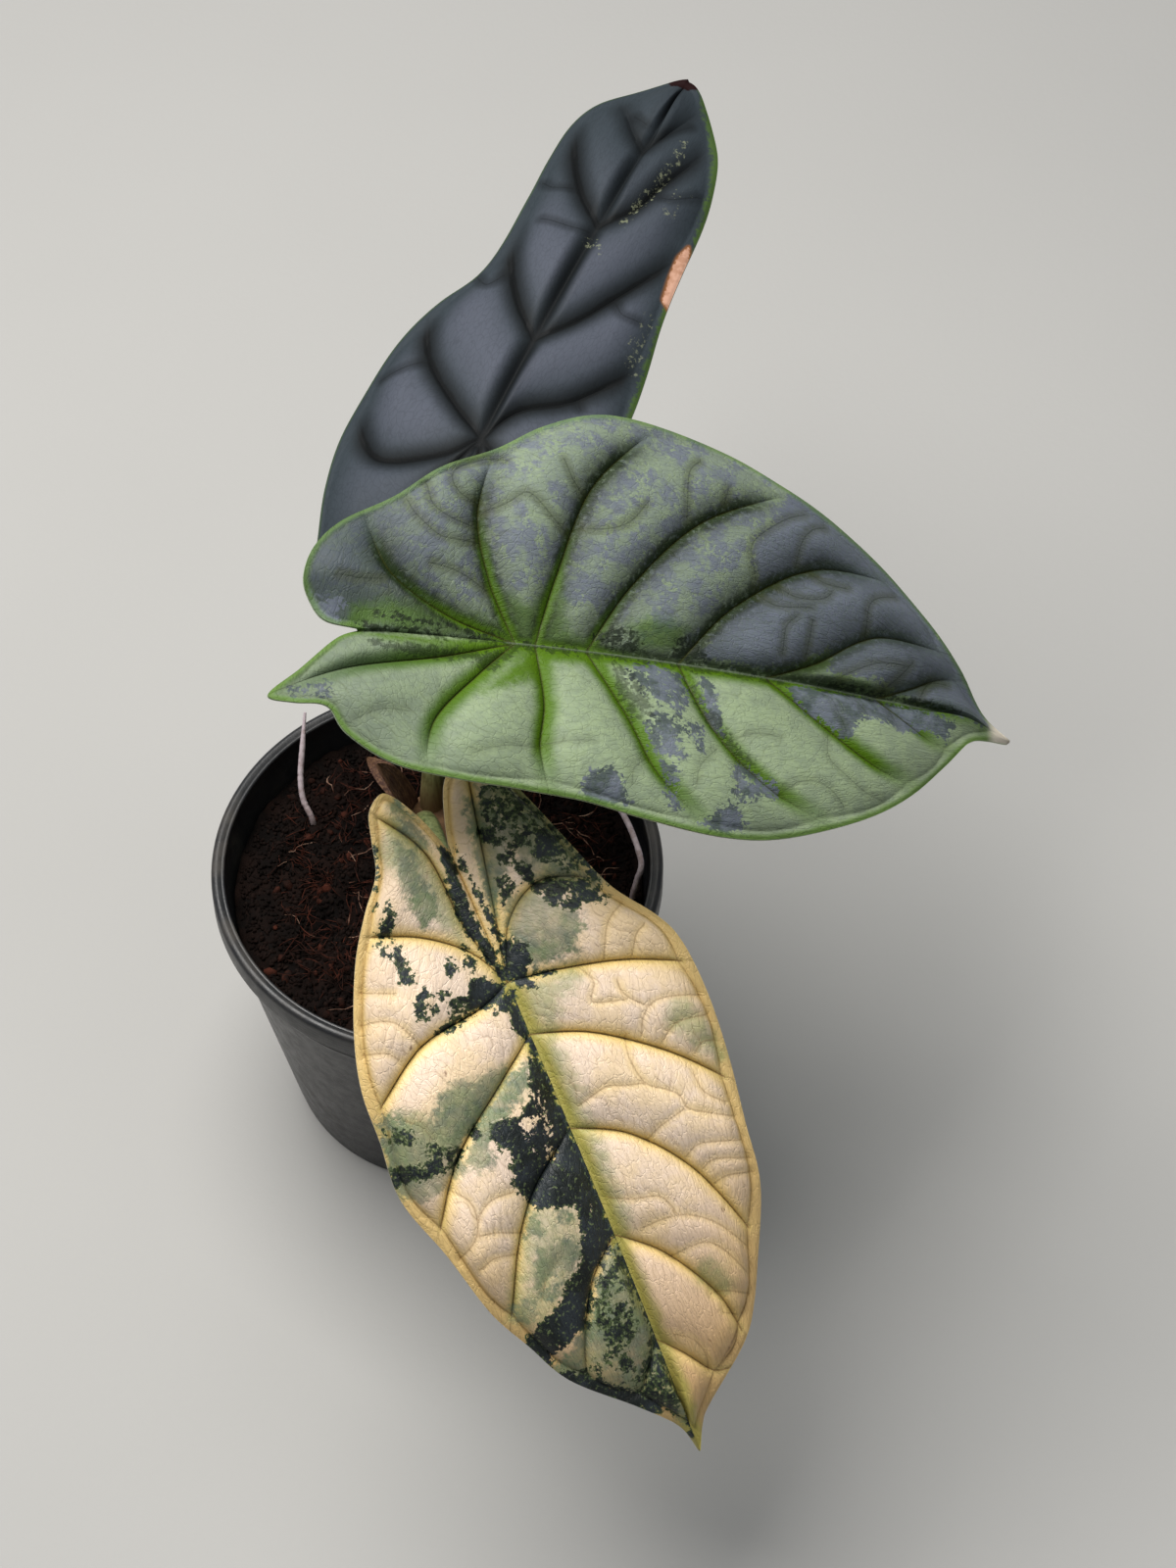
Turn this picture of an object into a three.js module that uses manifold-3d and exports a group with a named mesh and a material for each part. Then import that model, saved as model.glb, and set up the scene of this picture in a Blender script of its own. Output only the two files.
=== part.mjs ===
// Potted silver dragon alocasia: three quilted shield leaves on arching stalks,
// grown from one short rhizome in a round nursery pot of peat and coir.
// Millimetres, +Z up. The origin is the centre of the pot's underside.

import * as THREE from 'three';
import { mergeVertices } from 'three/addons/utils/BufferGeometryUtils.js';
import Module from 'manifold-3d';

const wasm = await Module();
wasm.setup();

// Driving dimensions of the pot

const POT_HEIGHT = 92;
const LIP_RADIUS = 60;
const LIP_DROP = 7.5;
const WALL_TOP_RADIUS = 57.5;
const BASE_RADIUS = 43.5;
const POT_WALL = 1.4;
const FLOOR_RADIUS = 27;
const CHANNEL_RISE = 2.4;
const CHANNEL_EDGE = 39;
const DRAIN_COUNT = 8;
const DRAIN_RADIUS = 4.2;
const DRAIN_CIRCLE = 34;
const NOTCH_COUNT = 4;
const NOTCH_WIDTH = 9;
const NOTCH_DEPTH = 1.2;
const POT_SEGMENTS = 48;
const SOIL_SEGMENTS = 36;

// Driving dimensions of the soil and what stands in it

const SEAT_GAP = 0.3;
const SOIL_LEVEL = 80.5;
const SOIL_LUMP = 1.1;
const CROWN = new THREE.Vector3(0.3, 18.5, 0);
const RHIZOME_TOP = 86;
const RHIZOME_RADIUS = 10.4;
const RHIZOME_DEPTH = 24;
const FIBRE_COUNT = 30;
const FIBRE_RADIUS = 0.6;
const CHIP_COUNT = 14;
const SOIL_SEED = 7;

// Driving dimensions of the leaves and stalks

const BLADE_THICKNESS = 1.2;
const MARGIN_THICKNESS = 0.8;
const RIB_THICKNESS = 0.7;
const PUFF = 0.13;
const PUFF_LIMIT = 3.1;
const FOLD_SOFTNESS = 6;
const SEAT_DEPTH = 2.6;
const SEAT_RADIUS = 5.2;
const HOOK_REACH = 16;
const STALK_TOP_RADIUS = 2.1;
const STALK_BASE_RADIUS = 3.3;
const SPOKES_PER_PANEL = 4;
const TIP_EASE = 0.7;
const SPOKE_STEPS = [0, 0.07, 0.2, 0.36, 0.54, 0.72, 0.88, 1];

// Each leaf has its own frame: X along the midrib, Z out of the upper face.
// droop tips the blade towards the bearing, aim is the midrib's bearing, both in
// degrees from +X.
// margin goes from the notch behind the stalk round to the tip, y counted away
// from the midrib. A vein row holds two points on its way and where on the
// margin it ends, and starts gives where each pair leaves the midrib.

const LEAVES = {
  front: {
    attach: [21, -83, 160],
    droop: 35,
    bearing: -70,
    aim: -60.9,
    length: 124.7,
    archTip: 420,
    archLobe: 420,
    fold: 0.2,
    roll: 150,
    hook: 0,
    starts: [0, 0, 0, 13.5, 38, 66, 94],
    stalk: { base: [-3.6, 14.2], rise: 24, drop: 46 },
    colour: 0xe9dfae,
    halves: [
      {
        side: 1,
        margin: [
          [-34.5, 0], [-41, 2.1], [-48.9, 5.6], [-53, 10], [-53, 15], [-47, 19.3], [-37.8, 22.5],
          [-24, 27], [-11, 32], [0, 39.5], [8.3, 42.4], [23, 43.3], [38, 42.3], [55, 39.5],
          [70, 37.2], [87, 30], [96, 25.3], [104, 19.3], [114.5, 6.8], [119, 3], [124.7, 0],
        ],
        veins: [
          [-16.5, 3.9, -34, 7.8, 3.5], [-13, 6, -19, 17, 7.8], [2.2, 13, 6.5, 28, 10.4],
          [19, 13.5, 31, 29, 12.4], [45, 12.5, 60, 24, 14.7], [75, 9.5, 90, 17.8, 16.9],
          [100, 5, 107, 10, 17.4],
        ],
      },
      {
        side: -1,
        margin: [
          [-34.5, 0], [-40.5, 1.9], [-46, 4], [-51, 6.6], [-53, 9.5], [-50, 13.9], [-43.5, 16],
          [-36, 18.5], [-28.5, 25], [-18.6, 31.7], [-3.2, 38.8], [9.3, 42.5], [22, 43.2],
          [36.7, 44], [53, 39.3], [70, 35], [82, 29.3], [93.7, 23.4], [107, 10.6], [116.7, 2.4],
          [124.7, 0],
        ],
        veins: [
          [-16, 4.2, -36, 5.6, 5], [-10, 5.3, -18.5, 15.5, 8.5], [3, 9, 5.5, 26, 11.6],
          [21, 11.3, 33, 28, 13.8], [47, 13.5, 58, 22.5, 15.5], [74, 9.5, 87, 16.8, 17.3],
          [99, 4, 103.5, 8, 17.8],
        ],
      },
    ],
  },
  middle: {
    attach: [23, -24, 215],
    droop: 26,
    bearing: -37,
    aim: 8,
    length: 140,
    archTip: 450,
    archLobe: 500,
    fold: 0.3,
    roll: 160,
    hook: -3.5,
    starts: [0, 0, 5, 18, 42, 66, 98],
    stalk: { base: [5.2, 18.8], rise: 40, drop: 45 },
    colour: 0x9fb29a,
    halves: [
      {
        side: 1,
        margin: [
          [-38, 0], [-45.5, 1.5], [-49.3, 6.5], [-51.3, 12], [-49, 19], [-42.2, 26],
          [-30.2, 32.6], [-19.3, 40.5], [-5.6, 47.1], [7.3, 55], [22, 59.6], [40, 58.7],
          [57, 55.2], [71, 48.9], [86.6, 41.3], [101.4, 32.9], [113.7, 22.5], [123.5, 12.3],
          [129.5, 6], [134.5, 2.2], [140, 0],
        ],
        veins: [
          [-16, 4.6, -31, 14, 5.4], [-7, 14, -10.2, 30, 8], [10, 18, 19, 40.5, 10.85],
          [29.5, 17.5, 48, 35.5, 13.2], [57, 16, 80, 29, 15.3], [80, 5.6, 98, 15, 16.75],
          [108, 4, 117, 8, 17.4],
        ],
      },
      {
        side: -1,
        margin: [
          [-38, 0], [-43.6, 3], [-52.3, 11.4], [-59.7, 18.3], [-54, 20.3], [-46.6, 21],
          [-42, 27], [-31, 34.1], [-17, 37], [0, 37.9], [14, 39], [29.6, 42.5], [45, 44.2],
          [61.4, 43.3], [77, 39.4], [92.2, 33.2], [105.7, 24.8], [116.8, 15.2], [125.5, 7],
          [132.9, 3], [140, 0],
        ],
        veins: [
          [-19, 5.6, -42, 10.5, 3], [-9.5, 9, -21.5, 22.5, 7.5], [5.8, 15, 4, 27, 9.4],
          [26.5, 16, 34, 31.5, 12.2], [49.5, 17, 62, 30, 14.2], [81, 11, 95, 19.5, 16.2],
          [106, 5, 114, 9.5, 17.5],
        ],
      },
    ],
  },
  back: {
    attach: [13, 58, 195],
    droop: -10,
    bearing: 80,
    aim: 66.2,
    length: 135.3,
    archTip: 500,
    archLobe: 500,
    fold: -0.18,
    roll: 200,
    hook: 0,
    starts: [0, 0, 0, 33, 74, 104],
    stalk: { base: [-1.8, 23.4], rise: 30, drop: 40 },
    colour: 0x5c646c,
    halves: [
      {
        side: 1,
        margin: [
          [-34, 0], [-41, 3.5], [-49, 8], [-53, 14], [-50, 22], [-44, 26.5], [-37.5, 28.7],
          [-24, 33], [-8, 36.2], [8, 36], [23, 34], [38, 29.5], [50, 23.7], [62, 21.6],
          [78, 22.1], [95, 23.6], [107, 23.2], [117, 19.5], [125.5, 12.4], [133.4, 4.4], [135.3, 0],
        ],
        veins: [
          [-16, 5.5, -34, 10.5, 3], [-8, 7.5, -13, 23.5, 8.5], [7.5, 11, 19, 23.3, 10.7],
          [42, 8.5, 55, 16.5, 13.4], [82, 8, 93, 15, 16.2], [109, 5, 115, 9.5, 17.6],
        ],
      },
      {
        side: -1,
        margin: [
          [-34, 0], [-40, 3.5], [-47, 7], [-52, 12], [-50, 18], [-43, 23.5], [-30, 28],
          [-14, 31], [4, 31.6], [24, 30.6], [39, 28.9], [54, 26.7], [72, 24.9], [89, 23.4],
          [101, 21.5], [112, 18.2], [121.9, 12.5], [129.1, 7.2], [133, 3.4], [135.3, 0],
        ],
        veins: [
          [-16, 5, -34, 9.5, 3], [-6, 9, -9, 20, 7.45], [11, 5.5, 21, 16.5, 10.1],
          [43, 7.7, 58, 15, 12.4], [83.5, 6.3, 97, 10, 15.4], [110, 2.2, 117, 4.5, 16.7],
        ],
      },
    ],
  },
};

// Papery scale leaves: one stands round the crown, flares and narrows as it rises,
// the other lies on the soil as a pointed boat. Bearings are degrees from +X.

const SCALE_THICKNESS = 0.7;
const UPRIGHT_SCALE = {
  height: 25, footRadius: 8.6, lean: 0.16, flare: 0.006, bearing: 172, spread: 34, twist: 10,
};
const FALLEN_SCALE = {
  foot: [-9.2, 27.2], bearing: 131, length: 17, halfWidth: 3.6, lift: 2.2, arch: 2.6, cup: 1.4,
};

// Surface roots, each from below the soil to its free or buried end

const ROOT_RADIUS = 0.8;
const ROOT_PLAY = 0.6;
const ROOTS = {
  root_left: {
    path: [
      [-34.4, 21, 72], [-34.4, 21, 78], [-34.9, 21.6, 82.4], [-37, 24.4, 86.6], [-37.6, 28.4, 91.4],
      [-37, 33.4, 97.4], [-36.1, 39.9, 105],
    ],
    tip: 0.5,
    buried: [[-34.4, 21]],
  },
  root_right: {
    path: [
      [36, 34, 72], [36, 34, 78], [36.3, 33.7, 83.5], [42, 26.6, 91], [49.4, 15.2, 92.5],
      [54, 1.6, 91], [53, -1.8, 86], [52, -3.1, 81.5], [51.8, -3.2, 77.5], [51.8, -3.2, 73],
    ],
    tip: 1,
    buried: [[36, 34], [51.8, -3.2]],
  },
};

// Small helpers

const { lerp, smoothstep, degToRad } = THREE.MathUtils;

function seededRandom(seed) {
  let state = seed;
  return () => {
    state = (state * 16807) % 2147483647;
    return state / 2147483647;
  };
}

function closedGeometry(points, triangles) {
  const geometry = new THREE.BufferGeometry();
  geometry.setAttribute('position', new THREE.Float32BufferAttribute(points.flat(), 3));
  geometry.setIndex(triangles.flat());
  geometry.computeVertexNormals();
  return geometry;
}

function toManifold(geometry) {
  const bare = geometry.clone();
  bare.deleteAttribute('normal');
  bare.deleteAttribute('uv');
  const merged = mergeVertices(bare, 1e-4);
  return new wasm.Manifold(new wasm.Mesh({
    numProp: 3,
    vertProperties: new Float32Array(merged.attributes.position.array),
    triVerts: new Uint32Array(merged.index.array),
  }));
}

function fromManifold(solid) {
  const mesh = solid.getMesh();
  const geometry = new THREE.BufferGeometry();
  geometry.setAttribute('position', new THREE.BufferAttribute(mesh.vertProperties, 3));
  geometry.setIndex(new THREE.BufferAttribute(mesh.triVerts, 1));
  geometry.computeVertexNormals();
  return geometry;
}

function revolve(profile, segments) {
  const outline = profile.map(([r, z]) => new THREE.Vector2(r, z));
  return new THREE.LatheGeometry(outline, segments).rotateX(Math.PI / 2);
}

function postAt(x, y, bottom, top, radius, sides) {
  const post = new THREE.CylinderGeometry(radius, radius, top - bottom, sides);
  return post.rotateX(Math.PI / 2).translate(x, y, (top + bottom) / 2);
}

// A tube of changing radius along a curve, closed by flat ends

function taperedTube(curve, steps, sides, radiusAt) {
  const frames = curve.computeFrenetFrames(steps, false);
  const points = [];
  const triangles = [];
  for (let i = 0; i <= steps; i++) {
    const t = i / steps;
    const centre = curve.getPointAt(t);
    const radius = radiusAt(t);
    for (let j = 0; j < sides; j++) {
      const angle = (j / sides) * 2 * Math.PI;
      const spot = centre.clone();
      spot.addScaledVector(frames.normals[i], radius * Math.cos(angle));
      spot.addScaledVector(frames.binormals[i], radius * Math.sin(angle));
      points.push(spot.toArray());
    }
  }
  for (let i = 0; i < steps; i++) {
    for (let j = 0; j < sides; j++) {
      const a = i * sides + j;
      const b = i * sides + ((j + 1) % sides);
      triangles.push([a, b, b + sides], [a, b + sides, a + sides]);
    }
  }
  const first = points.push(curve.getPointAt(0).toArray()) - 1;
  const last = points.push(curve.getPointAt(1).toArray()) - 1;
  for (let j = 0; j < sides; j++) {
    const next = (j + 1) % sides;
    triangles.push([first, next, j], [last, steps * sides + j, steps * sides + next]);
  }
  return closedGeometry(points, triangles);
}

// The leaf's plan: spokes fan from the midrib to the margin, one on every vein
// and a few between each pair, so the creases between the cushions are edges.

// Between two veins a spoke's inner points go over from one vein's to the
// next's. In the tip panel they keep to the straight line from foot to margin.

function spokeCurve(start, inner, end) {
  return new THREE.SplineCurve([
    new THREE.Vector2(start, 0),
    new THREE.Vector2(inner[0], inner[1]),
    new THREE.Vector2(inner[2], inner[3]),
    end,
  ]);
}

function straightInner(start, end) {
  const foot = new THREE.Vector2(start, 0);
  return [...foot.clone().lerp(end, 1 / 3), ...foot.clone().lerp(end, 2 / 3)];
}

function halfPlan(leaf, half) {
  const marginCurve = new THREE.SplineCurve(half.margin.map(([x, y]) => new THREE.Vector2(x, y)));
  const last = half.margin.length - 1;
  const marginPoint = (stop) => marginCurve.getPoint(stop / last);
  const ends = [[0, 0], [leaf.length, last]].map(([start, stop]) => (
    { start, stop, inner: straightInner(start, marginPoint(stop)) }
  ));
  const veins = half.veins.map((row, k) => (
    { start: leaf.starts[k], stop: row[4], inner: row.slice(0, 4) }
  ));
  const knots = [ends[0], ...veins, ends[1]];
  const rows = [];
  for (let k = 0; k < knots.length - 1; k++) {
    const [a, b] = [knots[k], knots[k + 1]];
    const [spokeA, spokeB] = [a, b].map((knot) => (
      spokeCurve(knot.start, knot.inner, marginPoint(knot.stop))
    ));
    const atTip = k === knots.length - 2;
    for (let j = 0; j < SPOKES_PER_PANEL + (atTip ? 1 : 0); j++) {
      const f = j / SPOKES_PER_PANEL;
      const start = lerp(a.start, b.start, atTip ? f ** TIP_EASE : f);
      const stop = lerp(a.stop, b.stop, f);
      const mixed = a.inner.map((value, i) => lerp(value, b.inner[i], f));
      const direct = straightInner(start, marginPoint(stop));
      const pull = atTip ? smoothstep(f, 0, 0.5) : 0;
      const inner = mixed.map((value, i) => lerp(value, direct[i], pull));
      const spoke = spokeCurve(start, inner, marginPoint(stop));
      rows.push(SPOKE_STEPS.map((s) => {
        const spot = spoke.getPoint(s);
        const width = spokeA.getPoint(s).distanceTo(spokeB.getPoint(s));
        const cushion = Math.min(PUFF * width, PUFF_LIMIT) * Math.sin(Math.PI * f) ** 0.8;
        const fade = smoothstep(s, 0, 0.2) * (1 - smoothstep(s, 0.78, 1));
        return { x: spot.x, y: half.side * spot.y, s, rise: cushion * fade, stop };
      }));
    }
  }
  return rows;
}

function sheetHeight(leaf, x, y) {
  const arch = x > 0 ? leaf.archTip : leaf.archLobe;
  const fold = leaf.fold * (Math.hypot(y, FOLD_SOFTNESS) - FOLD_SOFTNESS);
  return fold - (x * x) / (2 * arch) - (y * y) / (2 * leaf.roll);
}

function hookShift(leaf, x) {
  const from = leaf.length - HOOK_REACH;
  return leaf.hook * Math.max(0, (x - from) / HOOK_REACH) ** 1.7;
}

// Upper and lower face share one triangulation, joined by a rim all round

function bladeGeometry(leaf) {
  const upper = [];
  const lower = [];
  const faces = [];
  const lookup = new Map();
  const vertex = (spot) => {
    const key = `${Math.round(spot.x * 500)},${Math.round(spot.y * 500)}`;
    if (!lookup.has(key)) {
      const wave = 0.9 * spot.s ** 3 * Math.sin(spot.stop * 1.9 + Math.sign(spot.y));
      const top = sheetHeight(leaf, spot.x, spot.y) + spot.rise + wave;
      const rib = RIB_THICKNESS * (1 - smoothstep(spot.s, 0, 0.15));
      const rim = lerp(BLADE_THICKNESS, MARGIN_THICKNESS, smoothstep(spot.s, 0.85, 1));
      const clear = smoothstep(Math.hypot(spot.x, spot.y), SEAT_RADIUS, SEAT_RADIUS * 1.8);
      const y = spot.y + hookShift(leaf, spot.x);
      lookup.set(key, upper.length);
      upper.push([spot.x, y, top]);
      lower.push([spot.x, y, lerp(-SEAT_DEPTH, top - rim - rib, clear)]);
    }
    return lookup.get(key);
  };
  for (const half of leaf.halves) {
    const rows = halfPlan(leaf, half).map((row) => row.map(vertex));
    for (let i = 0; i < rows.length - 1; i++) {
      for (let j = 0; j < rows[i].length - 1; j++) {
        const quad = [rows[i][j], rows[i][j + 1], rows[i + 1][j + 1], rows[i + 1][j]];
        for (const face of [[quad[0], quad[1], quad[2]], [quad[0], quad[2], quad[3]]]) {
          if (new Set(face).size === 3) faces.push(half.side > 0 ? face.reverse() : face);
        }
      }
    }
  }
  const count = upper.length;
  const triangles = [...faces];
  for (const [a, b, c] of faces) triangles.push([a + count, c + count, b + count]);
  for (const [a, b] of openEdges(faces)) {
    triangles.push([a, a + count, b + count], [a, b + count, b]);
  }
  return closedGeometry([...upper, ...lower], triangles);
}

function openEdges(faces) {
  const edges = new Map();
  for (const face of faces) {
    for (let i = 0; i < 3; i++) {
      const [a, b] = [face[i], face[(i + 1) % 3]];
      if (edges.has(`${b},${a}`)) edges.delete(`${b},${a}`);
      else edges.set(`${a},${b}`, [a, b]);
    }
  }
  return [...edges.values()];
}

// A leaf's frame in the world, and the stalk that rises to it from the crown

function leafAxes(leaf) {
  const [tilt, bearing, aim] = [leaf.droop, leaf.bearing, leaf.aim].map(degToRad);
  const z = new THREE.Vector3(
    Math.sin(tilt) * Math.cos(bearing), Math.sin(tilt) * Math.sin(bearing), Math.cos(tilt),
  );
  const slope = -(z.x * Math.cos(aim) + z.y * Math.sin(aim)) / z.z;
  const x = new THREE.Vector3(Math.cos(aim), Math.sin(aim), slope).normalize();
  return { x, y: new THREE.Vector3().crossVectors(z, x), z };
}

function leafGroup(name, leaf) {
  const axes = leafAxes(leaf);
  const material = new THREE.MeshStandardMaterial({
    color: leaf.colour, roughness: 0.5, metalness: 0,
  });
  const blade = new THREE.Mesh(bladeGeometry(leaf), material);
  blade.name = `blade_${name}`;
  const group = new THREE.Group();
  group.position.fromArray(leaf.attach);
  group.quaternion.setFromRotationMatrix(new THREE.Matrix4().makeBasis(axes.x, axes.y, axes.z));
  group.add(blade);
  return group;
}

function stalkMesh(name, leaf) {
  const { z } = leafAxes(leaf);
  const { base, rise, drop } = leaf.stalk;
  const foot = new THREE.Vector3(base[0], base[1], RHIZOME_TOP + SEAT_GAP);
  const head = new THREE.Vector3(...leaf.attach).addScaledVector(z, -SEAT_DEPTH - SEAT_GAP);
  const curve = new THREE.CubicBezierCurve3(
    foot, foot.clone().add(new THREE.Vector3(0, 0, rise)),
    head.clone().addScaledVector(z, -drop), head,
  );
  const radiusAt = (t) => lerp(STALK_BASE_RADIUS, STALK_TOP_RADIUS, t ** 0.6);
  const material = new THREE.MeshStandardMaterial({ color: 0xa9b382, roughness: 0.45 });
  const stalk = new THREE.Mesh(taperedTube(curve, 22, 10, radiusAt), material);
  stalk.name = `petiole_${name}`;
  return stalk;
}

// Pot: rolled lip, tapering wall, raised channel with drain holes underneath

function wallRadius(z) {
  return lerp(BASE_RADIUS, WALL_TOP_RADIUS, z / (POT_HEIGHT - LIP_DROP));
}

function potMesh() {
  const lipBottom = POT_HEIGHT - LIP_DROP;
  const floorTop = POT_WALL + 0.2;
  const channelTop = CHANNEL_RISE + POT_WALL;
  const profile = [
    [0, 0], [FLOOR_RADIUS, 0], [FLOOR_RADIUS + 1.5, CHANNEL_RISE],
    [CHANNEL_EDGE, CHANNEL_RISE], [CHANNEL_EDGE + 1.5, 0],
    [BASE_RADIUS - 1, 0], [wallRadius(1), 1], [WALL_TOP_RADIUS, lipBottom],
    [LIP_RADIUS - 0.8, lipBottom], [LIP_RADIUS, lipBottom + 1],
    [LIP_RADIUS, POT_HEIGHT - 1.6], [LIP_RADIUS - 0.7, POT_HEIGHT - 0.4],
    [LIP_RADIUS - 1.7, POT_HEIGHT], [LIP_RADIUS - 2.6, POT_HEIGHT - 0.5],
    [LIP_RADIUS - 3, POT_HEIGHT - 1.8], [WALL_TOP_RADIUS - POT_WALL, lipBottom],
    [wallRadius(channelTop + 1) - POT_WALL, channelTop + 1], [CHANNEL_EDGE + 1, channelTop],
    [FLOOR_RADIUS + 1, channelTop], [FLOOR_RADIUS - 1.5, floorTop], [0, floorTop],
  ];
  let pot = toManifold(revolve(profile, POT_SEGMENTS));
  for (let i = 0; i < DRAIN_COUNT; i++) {
    const angle = ((i + 0.5) / DRAIN_COUNT) * 2 * Math.PI;
    const [x, y] = [DRAIN_CIRCLE * Math.cos(angle), DRAIN_CIRCLE * Math.sin(angle)];
    pot = pot.subtract(toManifold(postAt(x, y, -2, channelTop + 3, DRAIN_RADIUS, 16)));
  }
  for (let i = 0; i < NOTCH_COUNT; i++) {
    const notch = new THREE.BoxGeometry(10, NOTCH_WIDTH, NOTCH_DEPTH * 2);
    notch.translate(BASE_RADIUS - 1, 0, 0).rotateZ((i / NOTCH_COUNT) * 2 * Math.PI);
    pot = pot.subtract(toManifold(notch));
  }
  const material = new THREE.MeshStandardMaterial({ color: 0x17181a, roughness: 0.4 });
  const mesh = new THREE.Mesh(fromManifold(pot), material);
  mesh.name = 'pot';
  return mesh;
}

// Soil: lumpy top, coir fibres and bark chips grown into it, plain holes for
// the rhizome and the roots

function soilHeight(x, y) {
  const mound = 1.6 * Math.exp(-((x - CROWN.x) ** 2 + (y - CROWN.y) ** 2) / 500);
  const ripple = Math.sin(x * 0.21 + 1) * Math.cos(y * 0.19) + 0.6 * Math.sin(x * 0.43 - y * 0.37);
  return SOIL_LEVEL + mound + SOIL_LUMP * 0.6 * ripple;
}

function soilBody() {
  const edge = SEAT_GAP + POT_WALL;
  const channelTop = CHANNEL_RISE + edge;
  const rim = wallRadius(SOIL_LEVEL - 1.5) - edge;
  const rings = [0.94, 0.8, 0.64, 0.48, 0.32, 0.16, 0];
  const profile = [
    [0, POT_WALL + 0.2 + SEAT_GAP], [FLOOR_RADIUS - 1.8, POT_WALL + 0.2 + SEAT_GAP],
    [FLOOR_RADIUS + 0.8, channelTop], [CHANNEL_EDGE + 0.8, channelTop],
    [wallRadius(channelTop + 1) - edge, channelTop + 1], [rim, SOIL_LEVEL - 1.5],
    ...rings.map((share) => [rim * share, SOIL_LEVEL]),
  ];
  const body = revolve(profile, SOIL_SEGMENTS);
  const spots = body.attributes.position;
  for (let i = 0; i < spots.count; i++) {
    if (spots.getZ(i) > SOIL_LEVEL - 0.1) {
      spots.setZ(i, soilHeight(spots.getX(i), spots.getY(i)));
    }
  }
  return toManifold(body);
}

function fibre(random) {
  const reach = Math.sqrt(random()) * 44;
  const turn = random() * 2 * Math.PI;
  const heading = random() * 2 * Math.PI;
  const span = 9 + 12 * random();
  const start = new THREE.Vector2(reach * Math.cos(turn), reach * Math.sin(turn));
  const points = [0, 1, 2, 3].map((i) => {
    const bend = heading + (i - 1.5) * (random() - 0.5) * 0.8;
    const x = start.x + (i / 3 - 0.5) * span * Math.cos(bend);
    const y = start.y + (i / 3 - 0.5) * span * Math.sin(bend);
    const lift = i === 0 || i === 3 ? -1.2 : 0.7 + 0.9 * random();
    return new THREE.Vector3(x, y, soilHeight(x, y) + lift);
  });
  return taperedTube(new THREE.CatmullRomCurve3(points), 4, 3, () => FIBRE_RADIUS);
}

function chip(random) {
  const reach = Math.sqrt(random()) * 42;
  const turn = random() * 2 * Math.PI;
  const [x, y] = [reach * Math.cos(turn), reach * Math.sin(turn)];
  const block = new THREE.BoxGeometry(3 + 4 * random(), 2 + 2 * random(), 2.2);
  block.rotateX(0.5 * (random() - 0.5)).rotateY(0.5 * (random() - 0.5)).rotateZ(turn * 3);
  return block.translate(x, y, soilHeight(x, y) + 0.3);
}

function clearOfStems(geometry) {
  geometry.computeBoundingBox();
  const stems = [[CROWN.x, CROWN.y, RHIZOME_RADIUS + 4]];
  for (const root of Object.values(ROOTS)) {
    for (const [x, y] of root.buried) stems.push([x, y, ROOT_RADIUS + 4]);
  }
  const { min, max } = geometry.boundingBox;
  const rim = Math.max(
    Math.hypot(min.x, min.y), Math.hypot(max.x, max.y),
    Math.hypot(min.x, max.y), Math.hypot(max.x, min.y),
  );
  return rim < wallRadius(SOIL_LEVEL) - 4 && stems.every(([x, y, radius]) => {
    const near = new THREE.Vector2(
      THREE.MathUtils.clamp(x, min.x, max.x), THREE.MathUtils.clamp(y, min.y, max.y),
    );
    return near.distanceTo(new THREE.Vector2(x, y)) > radius;
  });
}

function soilMesh() {
  const random = seededRandom(SOIL_SEED);
  let soil = soilBody();
  for (const [make, count] of [[fibre, FIBRE_COUNT], [chip, CHIP_COUNT]]) {
    let placed = 0;
    while (placed < count) {
      const piece = make(random);
      if (clearOfStems(piece)) {
        soil = soil.add(toManifold(piece));
        placed += 1;
      }
    }
  }
  const bottom = RHIZOME_TOP - RHIZOME_DEPTH - SEAT_GAP;
  soil = soil.subtract(toManifold(
    postAt(CROWN.x, CROWN.y, bottom, 100, RHIZOME_RADIUS + SEAT_GAP, 28),
  ));
  for (const root of Object.values(ROOTS)) {
    for (const [x, y] of root.buried) {
      soil = soil.subtract(toManifold(
        postAt(x, y, root.path[0][2] - SEAT_GAP, 100, ROOT_RADIUS + ROOT_PLAY, 12),
      ));
    }
  }
  const material = new THREE.MeshStandardMaterial({ color: 0x2b1d17, roughness: 0.95 });
  const mesh = new THREE.Mesh(fromManifold(soil), material);
  mesh.name = 'soil';
  return mesh;
}

// Rhizome: the short stem base, its flat top carries the three stalks

function rhizomeMesh() {
  const foot = RHIZOME_TOP - RHIZOME_DEPTH;
  const profile = [
    [0, foot], [6.5, foot], [8.6, foot + 5], [RHIZOME_RADIUS - 0.3, foot + 12],
    [RHIZOME_RADIUS - 0.1, RHIZOME_TOP - 4], [RHIZOME_RADIUS - 0.4, RHIZOME_TOP - 1],
    [RHIZOME_RADIUS - 0.9, RHIZOME_TOP], [0, RHIZOME_TOP],
  ];
  const geometry = revolve(profile, 28).translate(CROWN.x, CROWN.y, 0);
  const material = new THREE.MeshStandardMaterial({ color: 0x5a4632, roughness: 0.85 });
  const mesh = new THREE.Mesh(geometry, material);
  mesh.name = 'rhizome';
  return mesh;
}

function rootMesh(name, root) {
  const curve = new THREE.CatmullRomCurve3(root.path.map((spot) => new THREE.Vector3(...spot)));
  const radiusAt = (t) => ROOT_RADIUS * lerp(1, root.tip, smoothstep(t, 0.8, 1));
  const material = new THREE.MeshStandardMaterial({ color: 0xcfc4c9, roughness: 0.7 });
  const mesh = new THREE.Mesh(taperedTube(curve, 18, 8, radiusAt), material);
  mesh.name = name;
  return mesh;
}

// Papery scale leaves at the crown: thin pointed shells of one thickness

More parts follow.
